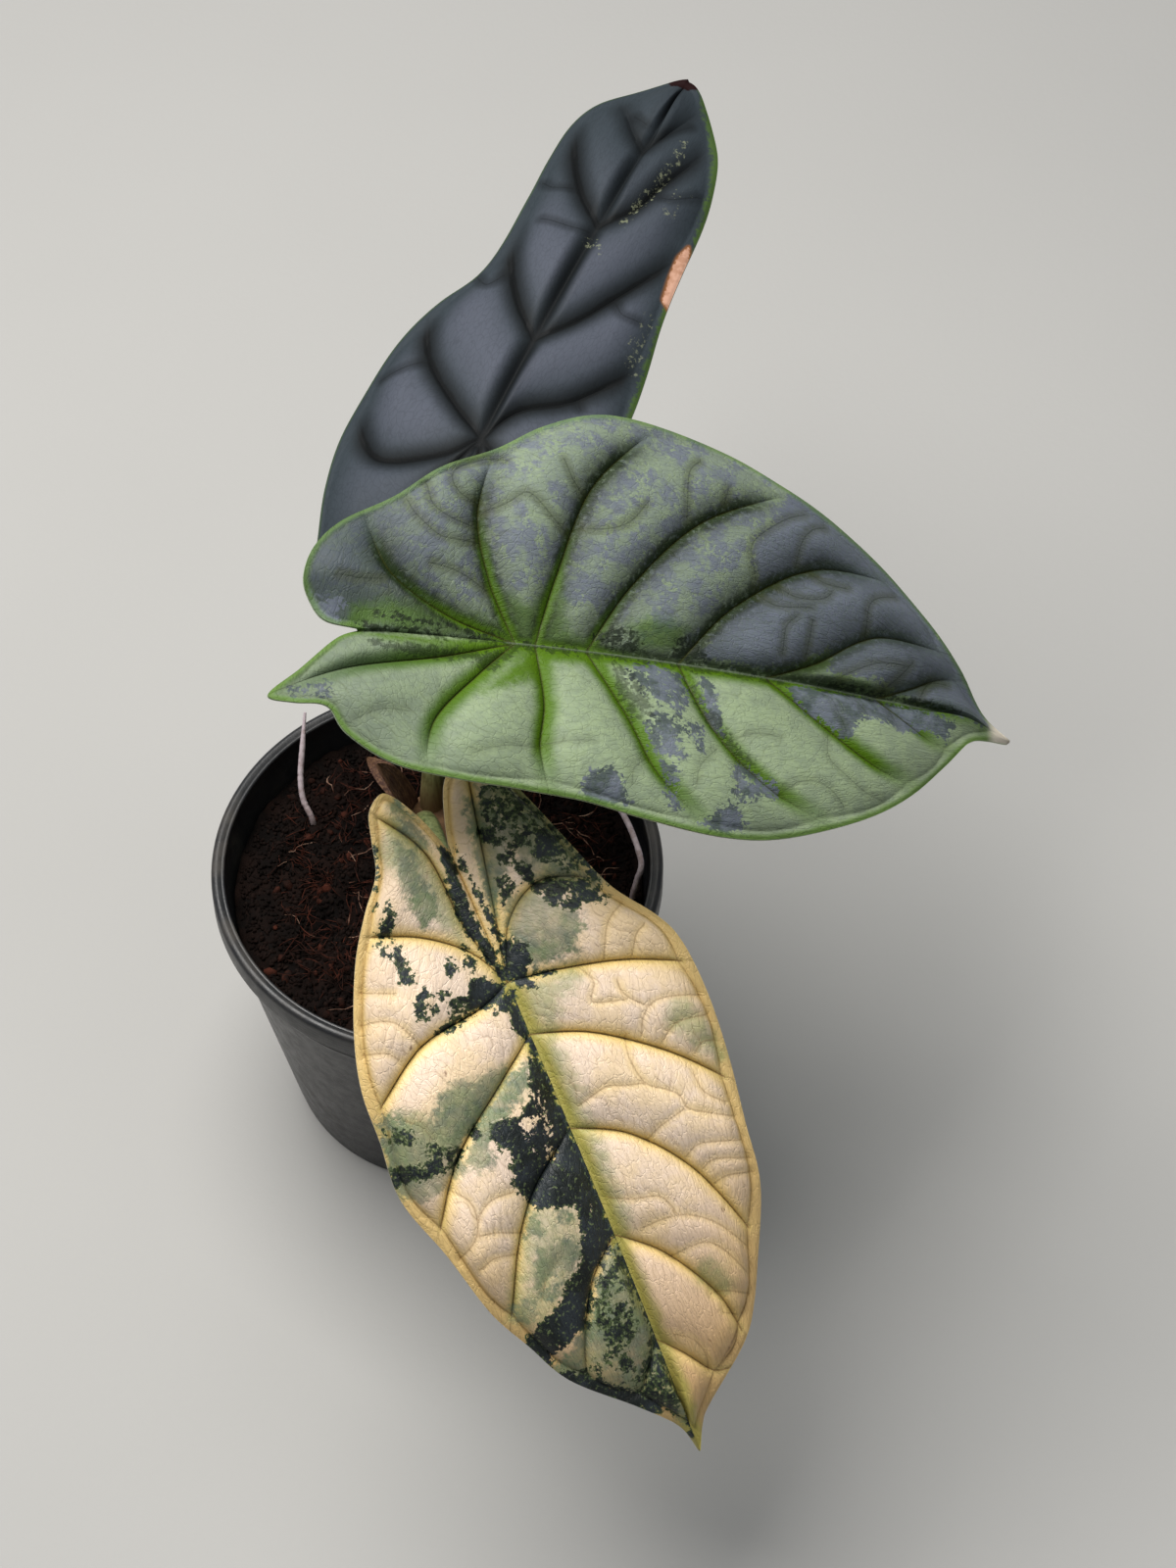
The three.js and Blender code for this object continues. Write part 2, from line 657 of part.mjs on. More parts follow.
const SCALE_LEAVES = {
  cataphyll_upright: { along: 9, across: 6, spotAt: uprightScale },
  cataphyll_fallen: { along: 8, across: 6, spotAt: fallenScale },
};

function uprightScale(a, b) {
  const { footRadius, lean, flare, bearing, spread, twist } = UPRIGHT_SCALE;
  const height = UPRIGHT_SCALE.height * a;
  const radius = footRadius + lean * height + flare * height * height;
  const angle = degToRad(bearing + spread * b * (1 - a ** 2.2) + twist * a);
  return new THREE.Vector3(
    CROWN.x + radius * Math.cos(angle), CROWN.y + radius * Math.sin(angle),
    RHIZOME_TOP + SEAT_GAP + height,
  );
}

function fallenScale(a, b) {
  const { foot, length, halfWidth, lift, arch, cup } = FALLEN_SCALE;
  const bearing = degToRad(FALLEN_SCALE.bearing);
  const half = halfWidth * Math.sin(Math.PI * (0.22 + 0.78 * a)) ** 0.8;
  const x = foot[0] + length * a * Math.cos(bearing) - half * b * Math.sin(bearing);
  const y = foot[1] + length * a * Math.sin(bearing) + half * b * Math.cos(bearing);
  const rise = arch * Math.sin(Math.PI * a * 0.8) + cup * (1 - b * b) * (1 - a);
  return new THREE.Vector3(x, y, SOIL_LEVEL + lift + rise);
}

function shellNormal(spotAt, a, b) {
  const step = 0.01;
  const [a0, b0] = [THREE.MathUtils.clamp(a, 0.02, 0.97), b];
  const alongA = spotAt(a0 + step, b0).sub(spotAt(a0 - step, b0));
  const alongB = spotAt(a0, b0 + step).sub(spotAt(a0, b0 - step));
  return alongA.cross(alongB).normalize();
}

function scaleLeafMesh(name, { along, across, spotAt }) {
  const outer = [];
  const inner = [];
  for (let i = 0; i <= along; i++) {
    for (let j = 0; j <= across; j++) {
      const [a, b] = [i / along, (2 * j) / across - 1];
      const spot = spotAt(a, i === along ? 0 : b);
      const normal = shellNormal(spotAt, a, i === along ? 0 : b);
      if (i === 0) normal.setZ(0).normalize();
      outer.push(spot.toArray());
      inner.push(spot.clone().addScaledVector(normal, SCALE_THICKNESS).toArray());
    }
  }
  const faces = [];
  const row = across + 1;
  for (let i = 0; i < along; i++) {
    for (let j = 0; j < across; j++) {
      const a = i * row + j;
      if (i < along - 1) faces.push([a, a + row + 1, a + row]);
      faces.push([a, a + 1, i < along - 1 ? a + row + 1 : along * row]);
    }
  }
  const count = outer.length;
  const triangles = [...faces];
  for (const [a, b, c] of faces) triangles.push([a + count, c + count, b + count]);
  for (const [a, b] of openEdges(faces)) {
    triangles.push([a, a + count, b + count], [a, b + count, b]);
  }
  const geometry = closedGeometry([...outer, ...inner], triangles);
  const material = new THREE.MeshStandardMaterial({ color: 0x7a5136, roughness: 0.9 });
  const mesh = new THREE.Mesh(geometry, material);
  mesh.name = name;
  return mesh;
}

const plant = new THREE.Group();
plant.add(potMesh(), soilMesh(), rhizomeMesh());
for (const [name, leaf] of Object.entries(LEAVES)) {
  plant.add(leafGroup(name, leaf), stalkMesh(name, leaf));
}
for (const [name, root] of Object.entries(ROOTS)) plant.add(rootMesh(name, root));
for (const [name, scale] of Object.entries(SCALE_LEAVES)) plant.add(scaleLeafMesh(name, scale));

export default plant;
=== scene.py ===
import math

import bmesh
import bpy
import numpy as np
from bpy.props import (
    FloatProperty,
    FloatVectorProperty,
    IntProperty,
    PointerProperty,
)
from mathutils import Euler, Matrix, Vector, noise


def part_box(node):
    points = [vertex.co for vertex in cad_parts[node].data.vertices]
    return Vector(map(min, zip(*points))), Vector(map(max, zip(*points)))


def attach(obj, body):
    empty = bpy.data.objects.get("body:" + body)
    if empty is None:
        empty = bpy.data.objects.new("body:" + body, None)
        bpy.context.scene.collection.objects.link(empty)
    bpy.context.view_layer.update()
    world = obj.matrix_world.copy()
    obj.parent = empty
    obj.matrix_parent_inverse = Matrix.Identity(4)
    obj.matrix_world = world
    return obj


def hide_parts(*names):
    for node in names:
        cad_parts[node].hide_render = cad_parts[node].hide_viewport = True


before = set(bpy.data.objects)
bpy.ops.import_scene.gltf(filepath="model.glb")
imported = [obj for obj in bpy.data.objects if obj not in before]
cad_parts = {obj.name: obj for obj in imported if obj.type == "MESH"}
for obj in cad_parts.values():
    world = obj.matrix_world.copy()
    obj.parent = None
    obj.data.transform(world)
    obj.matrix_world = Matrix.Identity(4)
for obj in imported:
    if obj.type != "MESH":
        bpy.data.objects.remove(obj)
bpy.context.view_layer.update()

bl_info = {
    "name": "Potted silver dragon alocasia",
    "version": (1, 0, 0),
    "blender": (4, 5, 0),
    "location": "3D View > Sidebar > Alocasia",
    "description": "Builds the leaves, stalks, soil and nursery pot of a small alocasia",
    "category": "Add Mesh",
}

MM = 0.001
TAU = 2 * math.pi
BODY = "root"

# Sizes that the frame gives, in millimetres

POT_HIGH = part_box("pot")[1] / MM
SOIL_LOW, SOIL_HIGH = (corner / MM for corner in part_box("soil"))
STEM_LOW, STEM_HIGH = (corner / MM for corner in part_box("rhizome"))
CROWN = (STEM_LOW + STEM_HIGH) / 2

# Shape of the blades, as in the solids; lengths in millimetres

TIP_EASE = 0.7
PUFF = 0.13
PUFF_LIMIT = 3.1
FOLD_SOFTNESS = 6
SEAT_DEPTH = 2.6
SEAT_RADIUS = 5.2
HOOK_REACH = 16

# Each leaf has its own frame: X along the midrib, Z out of the upper face.
# Margins run from the notch behind the stalk round to the tip. A vein row holds
# two points on its way and where on the margin it ends. Veinlets are points on
# the smaller creases, y signed by side. A patch is its cap, then its outline, or a
# line of (x, y, radius): a small cap leaves it speckled, a large one makes it solid.
# Swell is the power of the cushions' domes, shoulder the way from the collecting vein
# on which they rise; fullness and sharpness scale the cushions and the fine creases.

FRONT_HALVES = (
    {
        "side": 1,
        "margin": (
            (-34.5, 0), (-41, 2.1), (-48.9, 5.6), (-53, 10), (-53, 15), (-47, 19.3), (-37.8, 22.5),
            (-24, 27), (-11, 32), (0, 39.5), (8.3, 42.4), (23, 43.3), (38, 42.3), (55, 39.5),
            (70, 37.2), (87, 30), (96, 25.3), (104, 19.3), (114.5, 6.8), (119, 3), (124.7, 0),
        ),
        "veins": (
            (-16.5, 3.9, -34, 7.8, 3.5), (-13, 6, -19, 17, 7.8), (2.2, 13, 6.5, 28, 10.4),
            (19, 13.5, 31, 29, 12.4), (45, 12.5, 60, 24, 14.7), (75, 9.5, 90, 17.8, 16.9),
            (100, 5, 107, 10, 17.4),
        ),
    },
    {
        "side": -1,
        "margin": (
            (-34.5, 0), (-40.5, 1.9), (-46, 4), (-51, 6.6), (-53, 9.5), (-50, 13.9), (-43.5, 16),
            (-36, 18.5), (-28.5, 25), (-18.6, 31.7), (-3.2, 38.8), (9.3, 42.5), (22, 43.2),
            (36.7, 44), (53, 39.3), (70, 35), (82, 29.3), (93.7, 23.4), (107, 10.6), (116.7, 2.4),
            (124.7, 0),
        ),
        "veins": (
            (-16, 4.2, -36, 5.6, 5), (-10, 5.3, -18.5, 15.5, 8.5), (3, 9, 5.5, 26, 11.6),
            (21, 11.3, 33, 28, 13.8), (47, 13.5, 58, 22.5, 15.5), (74, 9.5, 87, 16.8, 17.3),
            (99, 4, 103.5, 8, 17.8),
        ),
    },
)
FRONT_VEINLETS = (
    ((4, 23), (0.5, 24.5), (-3, 26.5), (-5, 29), (-6, 32)),
    ((6, 29.5), (3.5, 31), (1.5, 32.5), (0.5, 35)),
    ((4, 17), (8, 18.5), (12, 16), (14, 20.5), (15, 24)),
    ((10, 23.5), (14, 24), (18.5, 28), (18, 30), (19, 35), (21.5, 41)),
    ((18.5, 28), (21, 25.5), (24.5, 24)),
    ((28, 28), (26, 30.5), (25, 34), (26.5, 40.5)),
    ((33.5, 34.5), (32, 37), (33, 40)),
    ((23, 20.5), (28, 19), (35, 20), (38, 23.5), (41, 26.5), (44.5, 27), (47, 30), (51.5, 37)),
    ((48, 16), (46, 20), (44.5, 27)),
    ((33.5, 4), (32, 11), (33.5, 15), (35, 20)),
    ((55.5, 23), (54, 27), (57.5, 36.5)),
    ((38, 32), (43, 32.5), (47.5, 36.5)),
    ((60, 25.5), (59, 29), (62.5, 37)),
    ((64.5, 27), (64, 30.5), (66, 36.5)),
    ((67, 6.5), (67, 12), (68.5, 17.5), (73.5, 23.5), (82, 28.5)),
    ((76.5, 11), (76, 16), (77, 20), (81, 23), (88, 26)),
    ((57, 2), (59.5, 7), (61.5, 13), (66, 15)),
    ((93, 2), (97, 7.5), (102, 9.5), (107, 9)),
    ((89, 16), (90, 20), (93, 24.5)),
    ((94.5, 17), (96.5, 20)),
    ((-12, -33), (-9, -26.5)),
    ((-5, -36), (-4.5, -32.5), (-2.5, -29), (1.5, -27), (5, -25.5)),
    ((1.5, -38.5), (3, -34), (6, -31.5)),
    ((39, -32.5), (42.5, -30), (46.5, -29.5), (51.5, -31.5), (55, -37)),
    ((47.5, -29.5), (45, -25), (45.5, -19.5)),
    ((51.5, -31.5), (52.5, -27), (55.5, -21)),
    ((59, -33.5), (58, -29.5), (59.5, -24.5)),
    ((72, -22.5), (68, -20), (65, -15.5)),
    ((26.5, -32), (22.5, -33), (19.5, -36)),
)
FRONT_PATCHES = {
    "dark": (
        (4, (-36.5, -3), (-35, 0), (-25, -1), (-15, -0.5), (0, 0.5), (0, -1.5), (-8, -3), (-17, -5),
         (-30, -3.5)),
        (2, (-34.5, 1.2, 0.3), (-24, 1.6, 0.4), (-15, 2.2, 0.6), (-8, 1.8, 1), (0, 0.9, 1.2)),
        (3, (-11, 3), (-7, 7.5), (-2.5, 7), (0, 5), (3.5, 5.5), (1.5, 1), (-3, 0.5), (-9, 1)),
        (1, (0, 1.5, 1), (0.8, 6, 0.6), (2, 11, 0.3)),
        (0.3, (-42, -16.5, 0.5), (-34, -19.4, 0.7), (-29, -22, 0.4)),
        (0.9, (-30, -18.5), (-27, -18), (-21.5, -21.5), (-22, -25), (-27, -21)),
        (0.9, (-20.5, -21.5), (-18, -20.5), (-9.5, -21), (-9.5, -24), (-14, -24)),
        (0.2, (-22, -25), (-20, -23.5), (-16, -23.5), (-17, -25.5)),
        (0.4, (-10, -13), (-12, -10), (-8.5, -9.5), (-7, -13)),
        (0.4, (-12.5, -6.5), (-9, -5), (-5.5, -6), (-5, -8), (-9, -8.5)),
        (2.5, (-4.5, -8), (-4, -5), (-1.5, -3.5), (1, -1), (3.5, -3), (3.5, -7.5), (3, -12), (-1, -12)),
        (0.5, (-6.5, -22.5), (-7, -19.5), (-5, -18), (-4.5, -21), (-1.5, -18), (0, -21), (-1.5, -24.5)),
        (0.2, (-4.5, -18), (-5, -14.5), (-3, -14), (-2.5, -17)),
        (0.4, (-2.5, -15), (-1, -11.5), (3.5, -12), (3.5, -16.5), (1, -17)),
        (1, (3.9, -20.5, 1), (3.3, -12.8, 0.6), (1.5, -5.4, 0.8), (0, -1, 1.2)),
        (3, (1, -3.5), (3.5, 0), (16, 0.5), (20, -1), (14, -2.5), (11, -3.8), (7, -3), (5.5, -6)),
        (0.15, (-46, 12.5), (-42, 20), (-29.5, 25), (-12.5, 32), (-14, 26.5), (-20, 22.5),
         (-25.5, 19), (-29, 16), (-29, 11.5), (-35, 7), (-40, 11)),
        (1.2, (-31, 19.5), (-28, 24.5), (-23, 25.5), (-22, 20), (-25.5, 17)),
        (1.2, (-24.5, 13), (-24, 16), (-19.5, 15.5), (-19.5, 12)),
        (0.1, (-28.5, 9.5), (-28, 13), (-25, 12), (-26, 9)),
        (0.7, (-24, 7.5), (-23, 10.5), (-19.5, 10), (-17, 6), (-20, 6.5)),
        (0.9, (-20, 14.5), (-18.5, 19.5), (-15.5, 26), (-12, 31), (-9, 24), (-9.5, 20.5), (-16, 14)),
        (0.2, (-10.5, 28.5), (-8.5, 31), (-7.5, 29), (-9, 27.5)),
        (0.8, (28, -44), (31, -34), (30, -27.5), (32, -25.5), (35.5, -30.5), (33.5, -38.5), (33, -44)),
        (0.5, (26, -34), (28, -31), (31, -28.5), (31, -32.5), (29, -34.5)),
        (0.1, (18.5, -41), (20.5, -36.5), (23.5, -34), (25, -37), (22.5, -42)),
        (1, (27, -22), (28.5, -20), (31, -22), (29.5, -24)),
        (5, (18, -2.5), (19, 0.3), (60, 0.3), (68, 0.3), (72.5, -8.5), (82.5, -14.5), (85, -20.5),
         (89.5, -27), (82, -31), (77.5, -26.5), (75, -20.5), (67.5, -10.5), (62.5, -8), (55, -7),
         (52.5, -15.5), (44.5, -19), (37, -16), (33, -20), (28.5, -17.5), (29.5, -10.5), (26.5, -6.5)),
        (0.35, (66, 0), (120, 0.5), (111.5, -3), (100.5, -17), (89.5, -27), (93, -18), (83, -13),
         (72, -7)),
        (1.6, (88, -29, 1.6), (95, -21, 2.4), (103.6, -12, 2.6), (109, -6, 2)),
        (1.5, (0, -0.2, 0.8), (30, -0.2, 0.6), (60, -0.2, 0.7), (90, -0.1, 0.7), (120, -0.2, 0.8)),
    ),
    "grey": (
        (3, (-42, -11.5), (-38, -8.5), (-31, -9.5), (-26.5, -7.5), (-21.5, -8.5), (-19.5, -14),
         (-26, -15), (-35, -14)),
        (1, (-49, -7, 1.6), (-43, -6.5, 2.2), (-37, -5, 1.2)),
        (4, (-17, 6.5), (-18.5, 14), (-14.5, 17.5), (-8, 23), (-3.5, 19), (0, 18), (-1, 7), (-11, 5)),
        (4, (-44, 8), (-41, 13), (-32, 12), (-27, 12.5), (-19.5, 7), (-14.5, 3), (-24.5, 3.5),
         (-35, 5.5)),
        (0.5, (-46, 12), (-42, 21), (-29.5, 25), (-12.5, 32), (-12, 24), (-20, 14), (-30, 10)),
        (3, (17.5, -7.5), (22, -12), (30, -24.5), (32.5, -30), (28.5, -44), (21, -43), (20, -36.5),
         (22, -30), (15.5, -24), (16, -20), (18.5, -18), (17, -13)),
        (1.2, (16, -42), (17, -37), (19, -36), (21, -42)),
        (2, (28.5, -44), (31.5, -27.5), (35, -26.5), (37.5, -33.5), (39.5, -40), (36, -44)),
        (3, (18, -4.5), (19.5, -2.5), (26, -7), (28.5, -14.5), (33, -20), (38, -20), (37.5, -24.5),
         (34, -27.5), (28, -21.5), (22, -13)),
        (1, (51, -17), (54.5, -15), (57, -16.5), (57, -21)),
        (1, (54.5, -12), (54, -8.5), (58, -8), (57, -12.5)),
        (1.4, (60, -20), (61.5, -15.5), (61, -11), (65, -9), (69, -12.5), (67.5, -22)),
        (1, (68.5, -23.5), (70.5, -16.5), (73, -19), (71.5, -24)),
        (1, (70, -30), (71.5, -24), (77, -26), (75, -30)),
        (4, (68, 0), (120, 0.5), (111.5, -3), (89.5, -28), (83, -15), (72, -7)),
    ),
    "pale": (
        (0.4, (31.5, -11.5), (31, -8.5), (32, -7), (34, -9), (35, -11.5)),
        (-0.4, (26, -5, 0.6), (34, -5, 0.8), (42, -7, 0.6)),
        (-1.3, (20, -3), (19, -1), (36, -1), (46, -4), (60, -2), (60, -6), (44, -12), (28, -9)),
        (1.4, (66, -0.5), (67.5, -3), (71.5, -7), (71.5, -4), (69, -0.5)),
        (1.4, (81, -0.8), (91, -0.6), (92, -3.5), (85.5, -3.5)),
        (0.6, (76, -6), (75.5, -1.5), (79.5, -2), (81, -7)),
        (1.2, (84, -14.5), (84, -11), (91, -13), (92.5, -16), (89, -17)),
        (2.4, (84, -15), (91.5, -18), (92, -21), (90, -26), (86.5, -25), (84, -20)),
        (1.2, (90, -6), (91.5, -0.8), (95.5, -3.5), (99, -8), (94.5, -8)),
        (0.7, (94, -15.5), (98, -9), (102.5, -10), (98, -16)),
    ),
    "green": (
        (1.4, (2.5, 1), (18, 1), (40, 1), (66, 1), (66, 4), (44, 5), (18, 5), (9, 9), (6, 17), (2, 16)),
        (2, (24, 34, 3.4), (30, 37.5, 3), (37, 40, 1.4)),
        (1.5, (-44, 18, 4), (-34, 19, 5), (-20, 22, 5)),
        (1.5, (83, 17, 2.4), (88, 19, 2.2)),
        (1.2, (51, -16.5), (55.5, -7), (65, -9), (71, -14.5), (75, -21), (77.5, -27), (74, -31),
         (68, -29), (58, -21)),
        (2, (19, -42), (17, -36), (21, -30), (17, -21), (19, -9), (22, -8), (36, -44)),
        (2, (-50, -8), (-38, -6), (-20, -4), (-12, -6), (-20, -10), (-40, -16)),
        (2, (66, 0), (92, 0), (92, -16), (83, -14)),
        (1, (88, -31, 1), (97, -23, 0.8), (108, -12, 0.8), (116, -4, 0.8)),
    ),
    "brown": (
        (0.4, (4.2, -28, 0.5), (4.4, -28, 0.5)),
        (0.4, (13, -23, 0.6), (13.2, -23, 0.6)),
        (0.3, (71, 26.2, 0.6), (71.2, 26.2, 0.6)),
        (0.3, (77.4, 25.7, 0.4), (77.6, 25.7, 0.4)),
        (0.3, (99.2, 11.5, 0.4), (99.3, 11.5, 0.4)),
        (0.3, (-0.4, 22.3, 0.3), (0.8, 22.6, 0.2)),
        (0.3, (100, 19, 0.3), (107, 11.2, 0.1)),
        (0.3, (21, 45.8, 0.3), (21.2, 45.8, 0.3)),
    ),
}

MIDDLE_HALVES = (
    {
        "side": 1,
        "margin": (
            (-38, 0), (-45.5, 1.5), (-49.3, 6.5), (-51.3, 12), (-49, 19), (-42.2, 26), (-30.2, 32.6),
            (-19.3, 40.5), (-5.6, 47.1), (7.3, 55), (22, 59.6), (40, 58.7), (57, 55.2), (71, 48.9),
            (86.6, 41.3), (101.4, 32.9), (113.7, 22.5), (123.5, 12.3), (129.5, 6), (134.5, 2.2),
            (140, 0),
        ),
        "veins": (
            (-16, 4.6, -31, 14, 5.4), (-7, 14, -10.2, 30, 8), (10, 18, 19, 40.5, 10.85),
            (29.5, 17.5, 48, 35.5, 13.2), (57, 16, 80, 29, 15.3), (80, 5.6, 98, 15, 16.75),
            (108, 4, 117, 8, 17.4),
        ),
    },
    {
        "side": -1,
        "margin": (
            (-38, 0), (-43.6, 3), (-52.3, 11.4), (-59.7, 18.3), (-54, 20.3), (-46.6, 21), (-42, 27),
            (-31, 34.1), (-17, 37), (0, 37.9), (14, 39), (29.6, 42.5), (45, 44.2), (61.4, 43.3),
            (77, 39.4), (92.2, 33.2), (105.7, 24.8), (116.8, 15.2), (125.5, 7), (132.9, 3), (140, 0),
        ),
        "veins": (
            (-19, 5.6, -42, 10.5, 3), (-9.5, 9, -21.5, 22.5, 7.5), (5.8, 15, 4, 27, 9.4),
            (26.5, 16, 34, 31.5, 12.2), (49.5, 17, 62, 30, 14.2), (81, 11, 95, 19.5, 16.2),
            (106, 5, 114, 9.5, 17.5),
        ),
    },
)
MIDDLE_VEINLETS = (
    ((-3, 44.5), (-8.5, 44), (-15.5, 40.5), (-17, 37), (-15, 33.5), (-10, 32)),
    ((-27.5, 31), (-26, 27.5), (-21.5, 23), (-17.5, 22), (-10.5, 22.5)),
    ((-23, 35.5), (-22, 30), (-17.5, 27), (-11, 26)),
    ((-43.5, 11.5), (-38.5, 11), (-33.5, 11.5)),
    ((-9.5, 30), (-3, 33), (1.5, 35.5), (7.5, 30), (12, 27)),
    ((10.5, 45), (12.5, 40.5), (16, 37)),
    ((16, 29), (21.5, 29), (27.5, 31.5), (32, 37)),
    ((-22, 16), (-15, 14.5), (-8, 11.5)),
    ((43, 35), (43, 42), (44, 47.5), (47.5, 51)),
    ((53.5, 41), (54.5, 44.5)),
    ((62.5, 21), (61, 25.5), (60.5, 31.5), (70, 39), (76.5, 42)),
    ((73.5, 29), (74.5, 34), (78, 38), (82, 39.5)),
    ((68, 22.5), (73, 20), (80, 20.5), (83, 22.5)),
    ((77.5, 27.5), (81.5, 25), (88, 24.5)),
    ((63.5, 19), (68, 17), (77.5, 18)),
    ((69.5, 6), (70, 12), (73, 15)),
    ((94, 14), (94, 21), (97, 24), (103, 26)),
    ((76.5, 6.5), (77.5, 14.5)),
    ((86, 2.5), (96.5, 7.5), (106.5, 8.5)),
    ((95.5, -1), (102.5, 4.5), (107.5, 9.5)),
    ((110, 1), (114, 6.5), (119.5, 7)),
    ((89, -1.5), (93, -6.5)),
    ((100.5, -1), (102, -8)),
    ((82.5, -2.5), (86.5, -11.5)),
    ((81, -14), (79.5, -20), (83, -24), (90, -28), (95.5, -28.5)),
    ((65, -32), (71.5, -28), (78, -28.5), (83, -32.5)),
    ((53, -33.5), (53.5, -28), (56, -24)),
    ((25.5, -34.5), (26, -31), (30, -27.5)),
    ((4, -26.5), (9.5, -25.5), (16, -25)),
    ((-13.5, -31), (-6, -28.5), (3, -27.5)),
    ((53.5, -19.5), (60.5, -17), (66, -17.5)),
    ((42.5, -32), (43.5, -28), (48.5, -23)),
    ((-40.5, -24), (-34.5, -21.5), (-28.5, -21.5)),
)
MIDDLE_PATCHES = {
    "dark": (
        (2, (-36, -3.8, 0.8), (-30, -5, 1), (-18.6, -5, 1.2), (-10, -4.6, 1)),
        (3, (-11, -6), (-8, -3.5), (-3, -2.6), (1, -0.6), (-1.5, -4.5), (-6.5, -8), (-9, -8)),
        (0.8, (-38, 0.6, 0.5), (-25.4, 0.3, 0.7), (-13.6, -0.4, 0.6), (-1.5, -0.2, 0.5)),
        (0.5, (-34, 3.4, 0.2), (-25, 2.9, 0.3), (-12, 1.6, 0.3), (-3, 0.6, 0.3)),
        (0.5, (3, -0.6, 0.5), (40, -0.6, 0.6), (72, -0.5, 0.5)),
        (0.5, (24, -4), (25.5, -1.5), (30, -9), (33, -17), (28, -17.5), (25, -11)),
        (0.3, (42, -2), (44, -3), (50, -14), (60, -27), (58, -28), (46, -14)),
        (0.4, (19, 4), (24, 1), (33, 1.5), (30, 5), (24, 6)),
        (0.5, (38, 1.5), (50, 1.5), (47, 6), (42, 6)),
        (0.4, (80, 0.5), (112, 1.5), (122, 0.5), (112, -1.5), (80, -1)),
    ),
    "grey": (
        (5, (60, 31), (67.5, 39), (74, 49), (104, 33), (126, 11), (134, 0), (118, -1), (108, 1),
         (97, 3.5), (83, 3), (85, 10), (71, 2), (50, 1.5), (47, 3), (56, 14), (62.5, 22)),
        (3, (-53, 8), (-42, 6), (-43, 3), (-41.5, -1), (-50, -1)),
        (1, (26, -3.5), (35.5, -1.5), (42, -3), (43, -10), (39, -16.5), (45.5, -17), (44.5, -25),
         (39, -19.5), (39.5, -27), (35, -27), (31, -24.5), (31, -17.5), (33, -14.5), (29, -9)),
        (0.8, (34, -27.5), (38.5, -29), (38, -33), (35, -32)),
        (0.4, (34, -34), (38, -35.5), (38.5, -40), (35, -39)),
        (3, (14.5, -33), (20.5, -31.5), (24, -34.5), (24.5, -39.5), (16.5, -40.5), (13, -37)),
        (3, (46.5, -3.5), (49.5, -3.5), (50.5, -10), (51.5, -18), (48, -15.5), (47.5, -8.5)),
        (0.8, (53.5, -26), (57, -26), (64.5, -30), (63.5, -34), (59, -33.5), (53, -36.5), (51.5, -33)),
        (2, (51, -36), (53.5, -37.5), (56.5, -41.5), (49.5, -44), (43.5, -42), (48, -39)),
        (1.6, (71, -1), (82, -1), (99.5, 0), (114.5, 0), (121.5, -4), (117, -8.5), (112, -6),
         (103, -9.5), (96, -7), (90.5, -7.5), (87.5, -13.5), (81, -10.5), (76, -8)),
        (0.4, (-55, -16), (-46, -15), (-45.5, -18.5), (-54, -19.5)),
    ),
    "marble": (
        (1.0, (-51, 8), (-49, 20), (-40, 29), (-18, 42), (6, 56), (22, 60), (42, 59), (64, 53),
         (80, 46), (67, 38), (60, 31), (56, 14), (46, 4), (24, 8), (8, 14), (-8, 8), (-22, 9),
         (-36, 10)),
    ),
    "pale": (
        (0.5, (30, -9), (33, -11.5), (38, -14), (37.5, -16.5), (33.5, -15)),
        (0.3, (38, -17, 0.4), (41, -19, 0.8), (42, -22, 0.4)),
        (0.4, (22, 22, 1), (26, 26, 1.4), (25, 30, 1)),
        (0.3, (-6, 30, 3), (-2, 22, 3.5)),
        (0.1, (70, 1, 0.4), (95, 1, 0.8), (118, -1, 1)),
    ),
    "green": (
        (4, (-6.5, 12), (-2, 4), (-14, 6), (-30, 7), (-40, 5), (-42, 0), (-24, 0), (3, -0.5), (24, 0),
         (12, 5), (11, 17), (6, 13), (3, 9), (-1, 10)),
        (4, (3, -1), (28, -1), (22, -3.5), (14, -3.5), (9, -5), (5, -9), (-4, -13), (-10, -15),
         (-4, -8)),
        (2, (-37, -1), (-3, -1), (-12, -3), (-30, -3.5)),
        (1.5, (28, 7), (34, 9), (44, 8), (41.5, 3), (31, 2)),
        (3, (64, 0.5), (78, 6.5), (84.5, 9.5), (82.5, 3.5), (72, 0.3)),
        (0.6, (84, 4), (92, 2.5), (106, 2), (112, 1), (92, -1), (82, 0)),
        (0.5, (112, 0, 0.6), (120, 0, 1), (130, 0, 1)),
    ),
}

